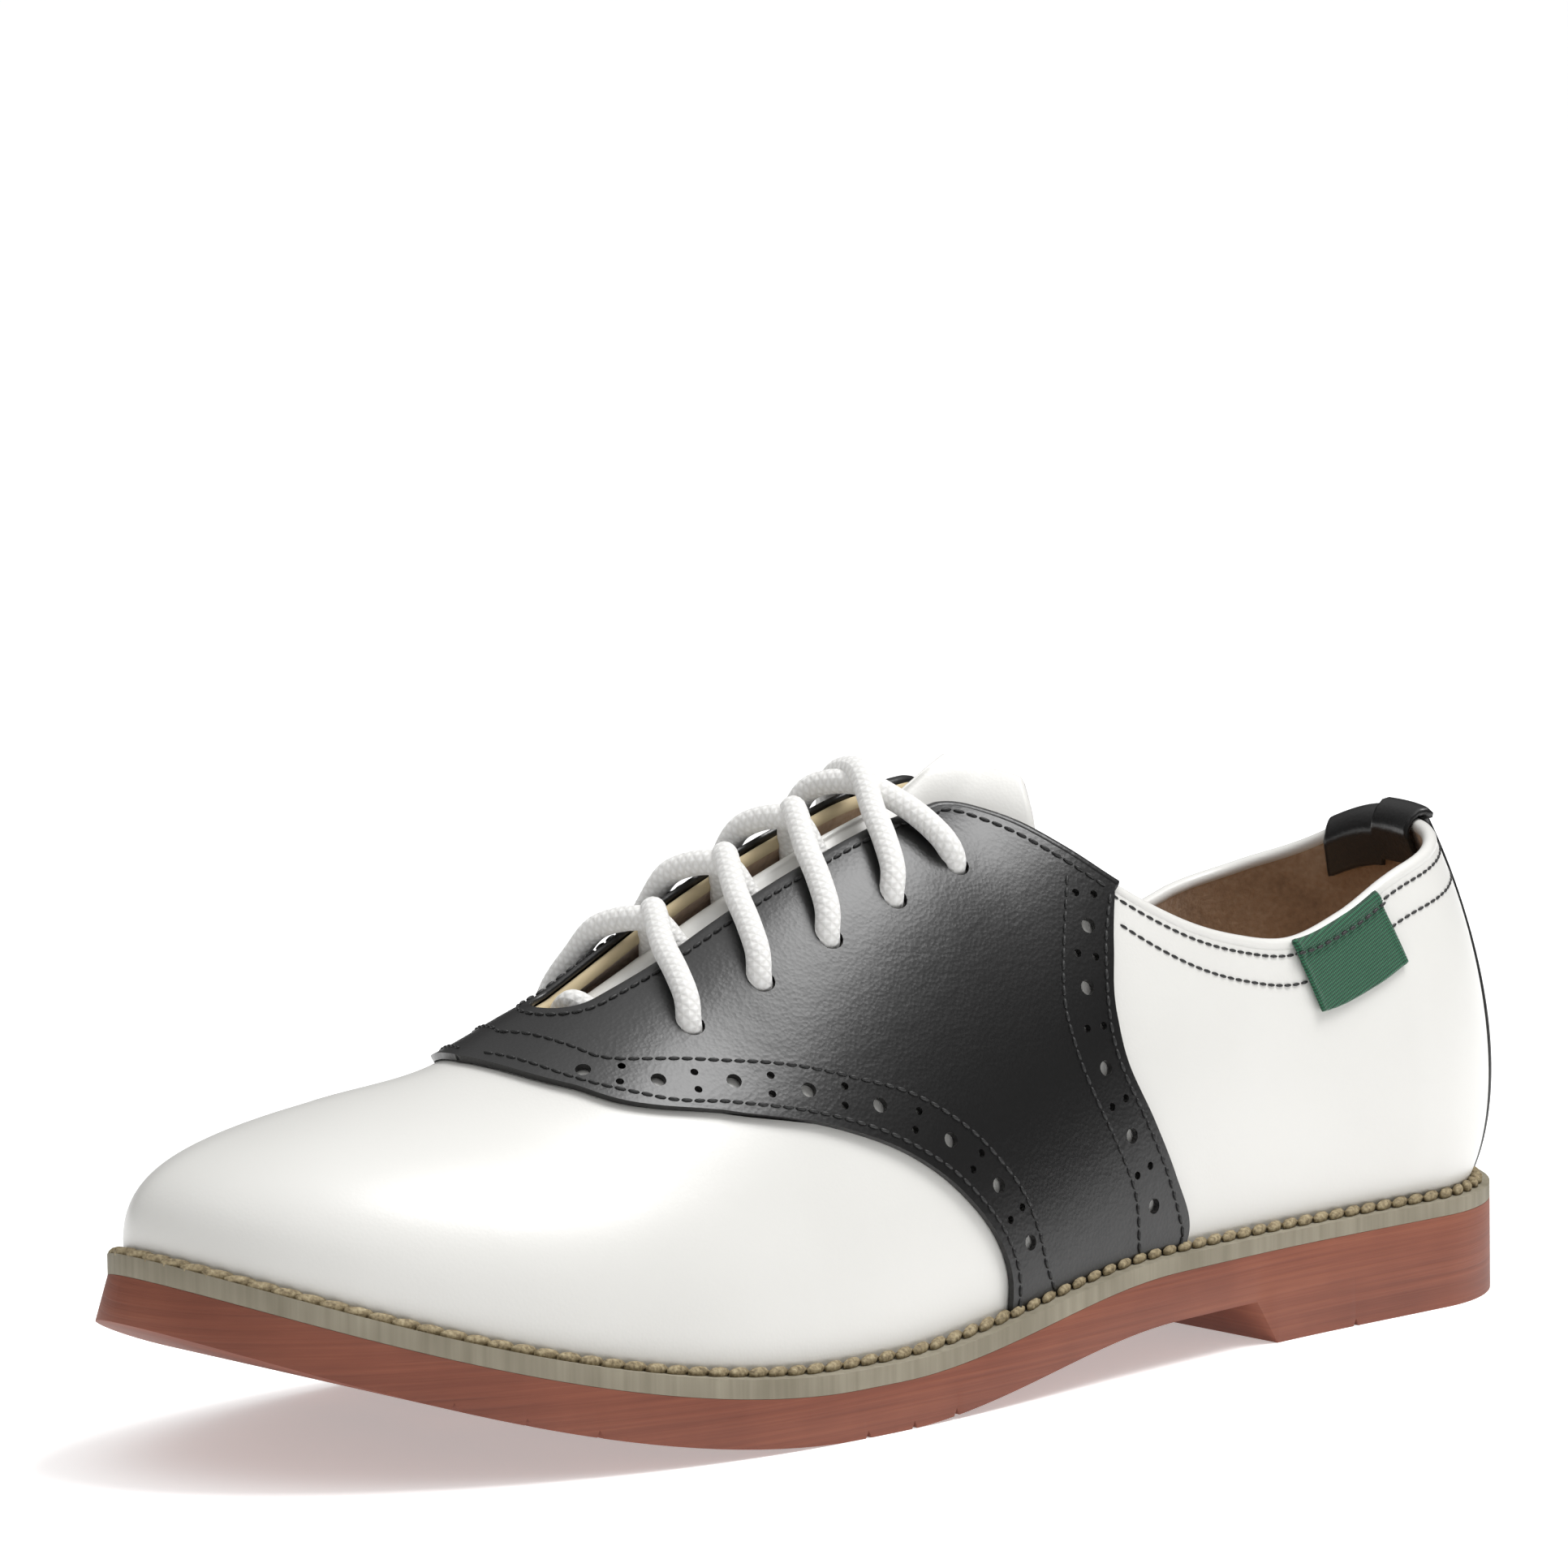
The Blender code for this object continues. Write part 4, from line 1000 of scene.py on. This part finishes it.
# The back strip: black leather over the back seam, folded over the topline
# into a short tab inside.
BACKSTAY = 0.0012
BACKSTAY_GAP = 0.0008
BACKSTAY_SPAN = 0.0305
TAB_FOLD = 0.006
FOLD_STEPS = 5
TAB_STEPS = 9
BACKSTAY_ROWS = (
    # up, half width
    (0.00, 0.0165),
    (0.45, 0.0155),
    (0.80, 0.0130),
    (1.00, 0.0115),
)
shares = np.linspace(-1.0, 1.0, 49)
ups = np.linspace(0.0, 1.0, 46)
layers = []
for offset in (BACKSTAY_GAP + BACKSTAY, BACKSTAY_GAP):
    sheet = np.zeros((len(shares), len(ups) + FOLD_STEPS + TAB_STEPS, 3))
    for side, keep in ((1, shares >= 0.0), (-1, shares < 0.0)):
        size = np.abs(shares[keep])
        half_width = row_value(BACKSTAY_ROWS, 1, ups)
        s = -1.0 + half_width[None, :] * size[:, None] / BACKSTAY_SPAN / (math.pi / 2)
        t = ups[None, :] * open_t(side, s.ravel()).reshape(s.shape)
        sheet[keep, :len(ups)] = skin(side, s, t, offset)
        s = -1.0 + BACKSTAY_ROWS[-1][1] * size / COLLAR_HALF / (math.pi / 2)
        top = open_t(side, s)
        crest = on_last(side, s, top)
        normal = outward(side, s, top)
        low = find_t(side, s, crest[:, 2] - TAB_FOLD, "height")
        centre = crest - normal * UPPER_WALL / 2
        around = UPPER_WALL / 2 + offset
        for k in range(FOLD_STEPS):
            turn = math.pi * (k + 0.6) / 5.2
            sheet[keep, len(ups) + k] = (centre + normal * around * math.cos(turn)
                                         + np.array([0.0, 0.0, around * math.sin(turn)]))
        for k, part in enumerate(np.linspace(0.0, 1.0, TAB_STEPS)):
            t = top + (low - top) * part
            sheet[keep, len(ups) + FOLD_STEPS + k] = skin(side, s, t, -UPPER_WALL - offset)
    layers.append(sheet)
backstay = sheet_piece("back_strip", layers[0], layers[1])
finished(backstay, black, "black_strip", "backstay")


# The side label: a woven green tab, folded over at the top and sewn through
# into the topline. It carries no words.
LABEL_AT = 0.180
LABEL_LEAN = 0.0037
LABEL_WIDTH = 0.0190
LABEL_DROP = 0.0110
LABEL_THICKNESS = 0.0007
LABEL_ROLL = 0.0006
LABEL_SELVAGE = 0.00012
down = np.linspace(1.0, -0.02, 34)
wide = np.linspace(-0.5, 0.5, 44)
front = np.zeros((len(wide), len(down), 3))
back = front.copy()
for i, place_share in enumerate(wide):
    at = LABEL_AT + place_share * LABEL_WIDTH / SOLE_LENGTH
    crest = on_last(1, s_at(at), open_t(1, s_at(at))[0])[2]
    s = s_at(np.maximum(at - down * LABEL_LEAN / SOLE_LENGTH, HEEL_CENTRE))
    t = find_t(1, s, crest - LABEL_DROP * down, "height")
    roll = LABEL_ROLL * np.exp(-((down - 0.06) / 0.09) ** 2)
    selvage = LABEL_SELVAGE * (np.abs(place_share) > 0.47)
    front[i] = skin(1, s, t, SEAT + LABEL_THICKNESS + roll + selvage)
    back[i] = skin(1, s, t, SEAT)
label = sheet_piece("side_label_tape", front, back)
woven, tree, place = new_material("green_woven_polyester_tape", Roughness=0.75, IOR=1.5,
                                  Sheen_Weight=0.4, Sheen_Roughness=0.4)
turned = add(tree, "ShaderNodeMapping", Vector=place, Rotation=(0.0, math.radians(-24.0), 0.0))
weft, warp = (add(tree, "ShaderNodeTexWave", {"bands_direction": way}, Vector=turned.outputs[0],
                  Scale=scale, Distortion=0.4).outputs[1]
              for way, scale in (("Z", 620.0), ("X", 900.0)))
both = mixed(tree, weft, warp, 0.6)
paint(tree, both, [(0.15, "0A3322"), (0.6, "145236"), (0.95, "24704C")], both, 0.7, 0.0002)
finished(label, woven, "label_fabric", "side_label")


# The laces: round braided cotton, 4 mm thick, without visible ends. The
# ends go down into the top holes.
LACE_DIAMETER = 0.0040
LACE_OVER = 0.0026
LACE_UNDER = 0.0008
LACE_BAR_AT = 0.678
LACE_DIVE = (
    # beyond the hole's middle, over the upper
    (0.0004, -0.0042),
    (0.0000, -0.0010),
    (-0.0008, 0.0012),
)
LACE_ARCH = (
    # share of the way from the middle line to the hole, share of the clearance
    (0.84, 0.90),
    (0.62, 1.08),
    (0.36, 1.18),
)
STRANDS_ROUND = 6.0
STRANDS_ALONG = 9.0


def cord_piece(name, line, radius, sides=18):
    """A round cord along points, with a map round and along it."""
    line = np.array(line)
    run = np.gradient(line, axis=0)
    run /= np.linalg.norm(run, axis=1)[:, None]
    length = np.concatenate([[0.0], np.cumsum(np.linalg.norm(np.diff(line, axis=0), axis=1))])
    across = np.cross(run[0], (0.0, 0.0, 1.0))
    if np.linalg.norm(across) < 0.1:
        across = np.cross(run[0], (0.0, 1.0, 0.0))
    bm = bmesh.new()
    layer = bm.loops.layers.uv.new("braid")
    rings = []
    for point, ahead in zip(line, run):
        across = across - ahead * np.dot(across, ahead)
        across /= np.linalg.norm(across)
        beside = np.cross(ahead, across)
        ring = []
        for k in range(sides):
            turn = 2 * math.pi * k / sides
            p = point + radius * (across * math.cos(turn) + beside * math.sin(turn))
            ring.append(bm.verts.new((p[0] - MIDDLE_X, p[1], p[2])))
        rings.append(ring)
    for i in range(len(rings) - 1):
        for k in range(sides):
            d = (k + 1) % sides
            face = bm.faces.new((rings[i][k], rings[i][d], rings[i + 1][d], rings[i + 1][k]))
            spots = ((k, i), (k + 1, i), (k + 1, i + 1), (k, i + 1))
            for loop, (u, v) in zip(face.loops, spots):
                loop[layer].uv = (u / sides, length[v] / (2 * math.pi * radius))
    bm.faces.new(rings[0])
    bm.faces.new(rings[-1])
    return as_piece(name, bm)


def through(points, count):
    """Points on a smooth curve through a few."""
    points = np.array(points)
    gaps = np.sqrt(np.linalg.norm(np.diff(points, axis=0), axis=1))
    at = np.concatenate([[0.0], np.cumsum(gaps)])
    rows = [(a,) + tuple(p) for a, p in zip(at, points)]
    want = np.linspace(0.0, at[-1], count)
    return np.stack([row_value(rows, k, want) for k in (1, 2, 3)], 1)


def lace_point(side, s, distance, offset):
    """A point over the upper at a distance from the ridge."""
    t = find_t(side, s, distance, "distance")[0]
    return skin(side, s, t, offset)


def lace_strand(side, number, last):
    """Points of one lace end from its hole across the throat."""
    clear = SEAT + OVERLAY + LACE_DIAMETER / 2
    high = LACE_OVER if side > 0 else LACE_UNDER
    s0, s1 = eyelet_s(number), eyelet_s(number + 1)
    near, far = eyelet_row(number), eyelet_row(number + 1)
    path = [lace_point(side, s0, near + more, rise) for more, rise in LACE_DIVE]
    for k, lift in LACE_ARCH:
        s = s0 + (s1 - s0) * (1.0 - k) / 2
        path.append(lace_point(side, s, k * near, clear * lift))
    s = (s0 + s1) / 2
    middle = (on_last(1, s, 1.0) + on_last(-1, s, 1.0)) / 2
    path.append(middle + np.array([0.0, 0.0, high + 0.0012]))
    if last:
        for k, lift in reversed(LACE_ARCH):
            s = s0 + (s1 - s0) * (1.0 + k) / 2
            path.append(lace_point(-side, s, k * far, clear * lift))
        path += [lace_point(-side, s1, far + more, rise) for more, rise in reversed(LACE_DIVE)]
        return path
    s = s0 + (s1 - s0) * 0.62
    path.append(lace_point(-side, s, THROAT_GAP * 0.32, -0.0012))
    s = s0 + (s1 - s0) * 0.74
    path.append(lace_point(-side, s, far * 0.55, -0.0047))
    path.append(lace_point(-side, s1, far * 0.92, -0.0052))
    return path


# Cotton braid: strands cross at a slant every 1.4 mm; matt, slightly fluffy. Painted shade darkens
# the grooves between the strands.
cotton, tree, place = new_material("white_braided_cotton", Roughness=0.85, IOR=1.45,
                                   Sheen_Weight=0.3, Sheen_Roughness=0.5)
uv = add(tree, "ShaderNodeUVMap", {"uv_map": "braid"}).outputs[0]
parts = add(tree, "ShaderNodeSeparateXYZ", Vector=uv).outputs
bands = []
for turn in (STRANDS_ROUND, -STRANDS_ROUND):
    slant = maths(tree, "MULTIPLY_ADD", parts[0], turn,
                  maths(tree, "MULTIPLY", parts[1], STRANDS_ALONG))
    bands.append(maths(tree, "SINE", maths(tree, "MULTIPLY", slant, 2 * math.pi)))
braid = maths(tree, "MINIMUM", *bands)
height = maths(tree, "MULTIPLY_ADD", noise(tree, place, 2600.0, 3.0), 0.6, braid)
# Painted shade: the braid's colour is darker where its strands dip.
groove_shade = add(tree, "ShaderNodeMapRange", i0=braid, i1=-1.0, i2=1.0).outputs[0]
paint(tree, groove_shade, [(0.0, "E4E3E0"), (0.5, "F0EFED"), (1.0, "F5F5F3")], height, 0.3, 0.00025)
for number in range(1, EYELETS):
    last = number == EYELETS - 1
    for side, word in ((1, "outer"), (-1, "inner")):
        line = through(lace_strand(side, number, last), 120 if last else 80)
        lace = cord_piece("lace_%s_%d" % (word, number), line, LACE_DIAMETER / 2)
        finished(lace, cotton, "lace_fabric_%d" % number, "lace_cross_%d" % number)
s = float(s_at(LACE_BAR_AT + 0.004))
bar = [lace_point(1, s, 0.0100, -0.0048), lace_point(1, s, 0.0060, -0.0032),
       on_last(1, s, 1.0) - np.array([0.0, 0.0, 0.0012]),
       lace_point(-1, s, 0.0060, -0.0032), lace_point(-1, s, 0.0100, -0.0048)]
lace_bar = cord_piece("lace_bar_cord", through(bar, 40), LACE_DIAMETER / 2)
finished(lace_bar, cotton, "lace_fabric", "lace_bar")


# The thread: waxed stitches, each a short rounded bead. Rows of them follow
# the seams over the upper.
def stitch_tree():
    """Geometry nodes that lay stitches along lines with their own normals."""
    tree = bpy.data.node_groups.new("stitch_row", "GeometryNodeTree")
    for kind, name, place in (("Geometry", "Line", "INPUT"), ("Float", "Pitch", "INPUT"),
                              ("Float", "Long", "INPUT"), ("Float", "Wide", "INPUT"),
                              ("Float", "High", "INPUT"), ("Float", "Slant", "INPUT"),
                              ("Material", "Thread", "INPUT"),
                              ("Geometry", "Stitches", "OUTPUT")):
        tree.interface.new_socket(name, in_out=place, socket_type="NodeSocket" + kind)
    given = tree.nodes.new("NodeGroupInput").outputs
    curve = add(tree, "GeometryNodeMeshToCurve", Mesh=given["Line"])
    spots = add(tree, "GeometryNodeResampleCurve", Curve=curve.outputs[0])
    if "Mode" in spots.inputs:
        spots.inputs["Mode"].default_value = "Length"
    else:
        spots.mode = "LENGTH"
    tree.links.new(given["Pitch"], spots.inputs["Length"])
    facing = add(tree, "GeometryNodeInputNamedAttribute", {"data_type": "FLOAT_VECTOR"},
                 Name="facing")
    run = add(tree, "GeometryNodeInputTangent")
    first = add(tree, "FunctionNodeAlignRotationToVector", {"axis": "X"},
                Vector=run.outputs[0])
    second = add(tree, "FunctionNodeAlignRotationToVector", {"axis": "Z", "pivot_axis": "X"},
                 Rotation=first.outputs[0], Vector=facing.outputs[0])
    turn = add(tree, "ShaderNodeCombineXYZ", Z=given["Slant"])
    third = add(tree, "FunctionNodeRotateRotation", {"rotation_space": "LOCAL"},
                i0=second.outputs[0], i1=turn.outputs[0])
    ball = add(tree, "GeometryNodeMeshUVSphere", Segments=8, Rings=5, Radius=0.5)
    size = add(tree, "ShaderNodeCombineXYZ", X=given["Long"], Y=given["Wide"], Z=given["High"])
    bar = add(tree, "GeometryNodeTransform", Geometry=ball.outputs[0], Scale=size.outputs[0])
    laid = add(tree, "GeometryNodeInstanceOnPoints", Points=spots.outputs[0],
               Instance=bar.outputs[0], Rotation=third.outputs[0])
    real = add(tree, "GeometryNodeRealizeInstances", Geometry=laid.outputs[0])
    painted = add(tree, "GeometryNodeSetMaterial", Geometry=real.outputs[0],
                  Material=given["Thread"])
    out = tree.nodes.new("NodeGroupOutput")
    tree.links.new(painted.outputs[0], out.inputs[0])
    return tree


stitches = stitch_tree()


def sew(name, lines, pitch, long_way, wide, high, thread, slot, slant=0.0):
    """One piece of stitches along lines of points and normals."""
    points = []
    facing = []
    edges = []
    for line, normal in lines:
        first = len(points)
        points += [(p[0] - MIDDLE_X, p[1], p[2]) for p in line]
        facing += list(normal)
        edges += [(first + i, first + i + 1) for i in range(len(line) - 1)]
    mesh = bpy.data.meshes.new(name)
    mesh.from_pydata(points, edges, [])
    kept = mesh.attributes.new("facing", "FLOAT_VECTOR", "POINT")
    kept.data.foreach_set("vector", np.array(facing, dtype=np.float32).ravel())
    piece = placed(name, mesh)
    maker = piece.modifiers.new("stitches", "NODES")
    maker.node_group = stitches
    values = {"Pitch": pitch, "Long": long_way, "Wide": wide, "High": high, "Slant": slant,
              "Thread": thread}
    for socket in stitches.interface.items_tree:
        if socket.name in values:
            maker[socket.identifier] = values[socket.name]
    settle(piece)
    piece.data.shade_smooth()
    finished(piece, None, slot)
    return piece


black_thread, tree, place = new_material("black_waxed_thread", Roughness=0.5, IOR=1.5)
twist = noise(tree, place, 3000.0, 2.0)
paint(tree, twist, [(0.3, "0D0D0D"), (0.7, "2A2A2A")], twist, 0.4, 0.0001)

# Seams of the saddle: two rows on each band and one round the throat.
SEAM_FRONT = (
    # along, t
    (0.7300, 0.985),
    (0.7175, 0.812),
    (0.7045, 0.725),
    (0.6590, 0.638),
    (0.6230, 0.575),
    (0.5775, 0.488),
    (0.5385, 0.413),
    (0.5060, 0.325),
    (0.4860, 0.250),
    (0.4730, 0.188),
    (0.4640, 0.113),
    (0.4600, 0.062),
    (0.4540, 0.020),
)
SEAM_REAR = (
    # along, t
    (0.3820, 0.600),
    (0.4080, 0.450),
    (0.4115, 0.363),
    (0.4050, 0.275),
    (0.3920, 0.188),
    (0.3790, 0.100),
    (0.3760, 0.020),
)
EDGE_MARGIN = 0.0016
RIM_MARGIN = 0.0018
SADDLE_STITCH = (0.0021, 0.0019, 0.00065, 0.00060)  # pitch, length, width, height
on_saddle = SEAT + OVERLAY + HAIR
lines = []
for side in (1, -1):
    for rows in (SEAM_FRONT, SEAM_REAR):
        lines.append(seam(side, rows, 160, 0.0, on_saddle)[:2])
    front_edge = [(a, t) for t, a in SADDLE_FRONT[:-1]][::-1]
    front_edge[0] = (0.7585, 0.960)
    line, normal = seam(side, front_edge, 160, EDGE_MARGIN, on_saddle)[:2]
    lines.append((line[2:-4], normal[2:-4]))
    rear_edge = [(a, t) for t, a in SADDLE_REAR][::-1]
    line, normal = seam(side, rear_edge, 120, -EDGE_MARGIN, on_saddle)[:2]
    lines.append((line[3:-3], normal[3:-3]))
    rim = np.linspace(0.3560, THROAT_END - 0.0001, 260)
    closing = 1 - np.sin(np.linspace(0.0, math.pi / 2, 80))
    s = s_at(np.unique(np.concatenate([rim[:200], THROAT_END - 0.12 * closing])))
    lines.append(seam_on(side, s, open_t(side, s), RIM_MARGIN, on_saddle)[:2])
sew("saddle_stitches", lines, *SADDLE_STITCH, black_thread, "black_leather")

# Folded edges: the saddle's top edge and the quarters' topline are turned
# over and sewn down, which leaves a round bead.
SADDLE_BEAD = 0.0011
SADDLE_BEAD_RISE = 0.0004
TOPLINE_BEAD = 0.0012
TOPLINE_BEAD_SINK = 0.0009
for side, word in ((1, "outer"), (-1, "inner")):
    s = s_at(np.linspace(0.3480, 0.4560, 90))
    line, normal = seam_on(side, s, open_t(side, s))[:2]
    bead = cord_piece("saddle_bead_" + word, line + normal * SADDLE_BEAD_RISE, SADDLE_BEAD, 14)
    finished(bead, black, "black_leather", "saddle")
    s = np.concatenate([np.linspace(-0.80, 0.0, 60, endpoint=False),
                        np.linspace(0.0, float(s_at(0.3490)), 90)])
    line = seam_on(side, s, open_t(side, s), 0.0, -TOPLINE_BEAD_SINK)[0]
    bead = cord_piece("topline_bead_" + word, line, TOPLINE_BEAD, 14)
    finished(bead, white, "white_leather", "upper")

# Seams of the quarters: two rows of black thread under the topline, and one
# across the side label.
TOPLINE_ROWS = (0.0018, 0.0064)
LABEL_SEAM = 0.16
TOPLINE_STITCH = (0.0018, 0.0016, 0.00055, 0.00042)
LABEL_STITCH = (0.0018, 0.0016, 0.00055, 0.00045)
lines = []
for side in (1, -1):
    s = np.concatenate([np.linspace(-0.72, 0.0, 60, endpoint=False),
                        np.linspace(0.0, float(s_at(0.3500)), 90)])
    crest = on_last(side, s, open_t(side, s))[:, 2]
    for drop in TOPLINE_ROWS:
        t = find_t(side, s, crest - drop, "height")
        lines.append(seam_on(side, s, t, 0.0, 0.00006)[:2])
at = LABEL_AT + np.linspace(-0.49, 0.49, 30) * LABEL_WIDTH / SOLE_LENGTH
crest = on_last(1, s_at(at), open_t(1, s_at(at)))[:, 2]
s = s_at(np.maximum(at - LABEL_SEAM * LABEL_LEAN / SOLE_LENGTH, HEEL_CENTRE))
t = find_t(1, s, crest - LABEL_DROP * LABEL_SEAM, "height")
label_row = [seam_on(1, s, t, 0.0, SEAT + LABEL_THICKNESS + 0.0005)[:2]]
sew("topline_stitches", lines, *TOPLINE_STITCH, black_thread, "white_leather")
sew("label_stitches", label_row, *LABEL_STITCH, black_thread, "label_fabric")


# The welt seam: thick tan cord that runs in and out of the midsole's ledge
# all round the upper, and looks like a rope.
rope_cotton, tree, place = new_material("tan_waxed_linen_cord", Roughness=0.75, IOR=1.45)
twist = noise(tree, place, 1500.0, 3.0)
paint(tree, twist, [(0.3, "6C5F47"), (0.5, "948567"), (0.72, "B3A585")], twist, 0.6, 0.0003)
ROPE_OUTSIDE = 0.0011
ROPE_RISE = 0.0005
ROPE_SLANT = math.radians(22.0)
ROPE_STITCH = (0.0037, 0.0056, 0.0019, 0.0019)
sides = [feather_line(side, ROPE_OUTSIDE) for side in (1, -1)]
loop = np.concatenate([sides[0], sides[1][-2:0:-1], sides[0][:1]])
line = np.concatenate([loop, (seat_height(loop[:, 0]) + ROPE_RISE)[:, None]], 1)
normal = np.tile((0.0, 0.0, 1.0), (len(line), 1))
sew("welt_rope", [(line, normal)], *ROPE_STITCH, rope_cotton, "midsole_rand",
    slant=ROPE_SLANT)


# The floor is a flat sheet of white paper under a wide sun and soft lamps. It
# glows a little, so that the background stays white to the top of the picture.
PAPER = 9.0
PAPER_GLOW = 0.37
SKY_FROM = 0.35
SKY_LOW = 0.10
SKY_HIGH = 0.85
paper_mesh = bpy.data.meshes.new("paper_floor")
paper_mesh.from_pydata([(-PAPER, -PAPER, 0), (PAPER, -PAPER, 0), (PAPER, PAPER, 0),
                        (-PAPER, PAPER, 0)], [], [(0, 1, 2, 3)])
paper = placed("paper_floor", paper_mesh)
sheet = new_material("white_matt_paper", Roughness=0.9, Base_Color=linear("FFFFFF"),
                     Specular_IOR_Level=0.1, Emission_Color=linear("FFFFFF"),
                     Emission_Strength=PAPER_GLOW)[0]
paper.data.materials.append(sheet)

world = bpy.data.worlds.new("studio")
bpy.context.scene.world = world
world.use_nodes = True
tree = world.node_tree
way = add(tree, "ShaderNodeTexCoord").outputs["Generated"]
high = add(tree, "ShaderNodeSeparateXYZ", Vector=way).outputs[2]
glow = add(tree, "ShaderNodeMapRange", i0=high, i1=SKY_FROM, i2=1.0, i3=SKY_LOW,
           i4=SKY_HIGH)
tree.links.new(glow.outputs[0], tree.nodes["Background"].inputs[1])
tree.nodes["Background"].inputs[0].default_value = (1.0, 1.0, 1.0, 1.0)


def lamp(name, kind, at, toward, power, size):
    """A soft lamp: a square of a size, or a sun of a width in degrees."""
    data = bpy.data.lights.new(name, kind)
    data.energy = power
    if kind == "AREA":
        data.shape = "SQUARE"
        data.size = size
    else:
        data.angle = math.radians(size)
    made = placed(name, data)
    made.location = at
    made.rotation_mode = "QUATERNION"
    made.rotation_quaternion = (Vector(at) - Vector(toward)).to_track_quat("Z", "Y")


lamp("wide_sun", "SUN", (0.2, 0.35, 2.0), (0.0, 0.0, 0.0), 0.55, 70.0)
lamp("top_lamp", "AREA", (-0.30, 0.28, 0.95), (0.0, 0.0, 0.05), 7.0, 0.45)
lamp("front_lamp", "AREA", (0.6, 1.3, 0.5), (0.0, 0.0, 0.05), 0.15, 0.8)

# The camera stands off the toe's outer side, a little above the shoe.
SIZE = 1932.0
SPOT = (1021.5, 1340.9)
TURN = math.radians(49.0)
RISE = math.radians(9.7)
ROLL = math.radians(0.79)
DISTANCE = 1.6
LENS = 232.25
SENSOR = 36.0
AIM_X = 0.132
AIM_Z = 0.045
spot = Vector((AIM_X - MIDDLE_X, 0.0, AIM_Z))
back = Vector((math.cos(TURN) * math.cos(RISE), math.sin(TURN) * math.cos(RISE), math.sin(RISE)))
right = Vector((-math.sin(TURN), math.cos(TURN), 0.0))
up = back.cross(right)
tilted_right = right * math.cos(ROLL) - up * math.sin(ROLL)
tilted_up = right * math.sin(ROLL) + up * math.cos(ROLL)
focal = LENS / SENSOR * SIZE
axis = -back * focal - tilted_right * (SPOT[0] - SIZE / 2) + tilted_up * (SPOT[1] - SIZE / 2)
axis.normalize()
side_axis = (tilted_right - axis * tilted_right.dot(axis)).normalized()
frame_axes = Matrix((side_axis, side_axis.cross(axis), -axis)).transposed()
camera_data = bpy.data.cameras.new("camera")
camera_data.lens = LENS
camera_data.sensor_width = SENSOR
camera_data.clip_end = 20.0
camera = placed("camera", camera_data)
camera.rotation_mode = "QUATERNION"
camera.location = spot + back * DISTANCE
camera.rotation_quaternion = frame_axes.to_quaternion()
bpy.context.scene.camera = camera
bpy.context.scene.view_settings.view_transform = "Standard"
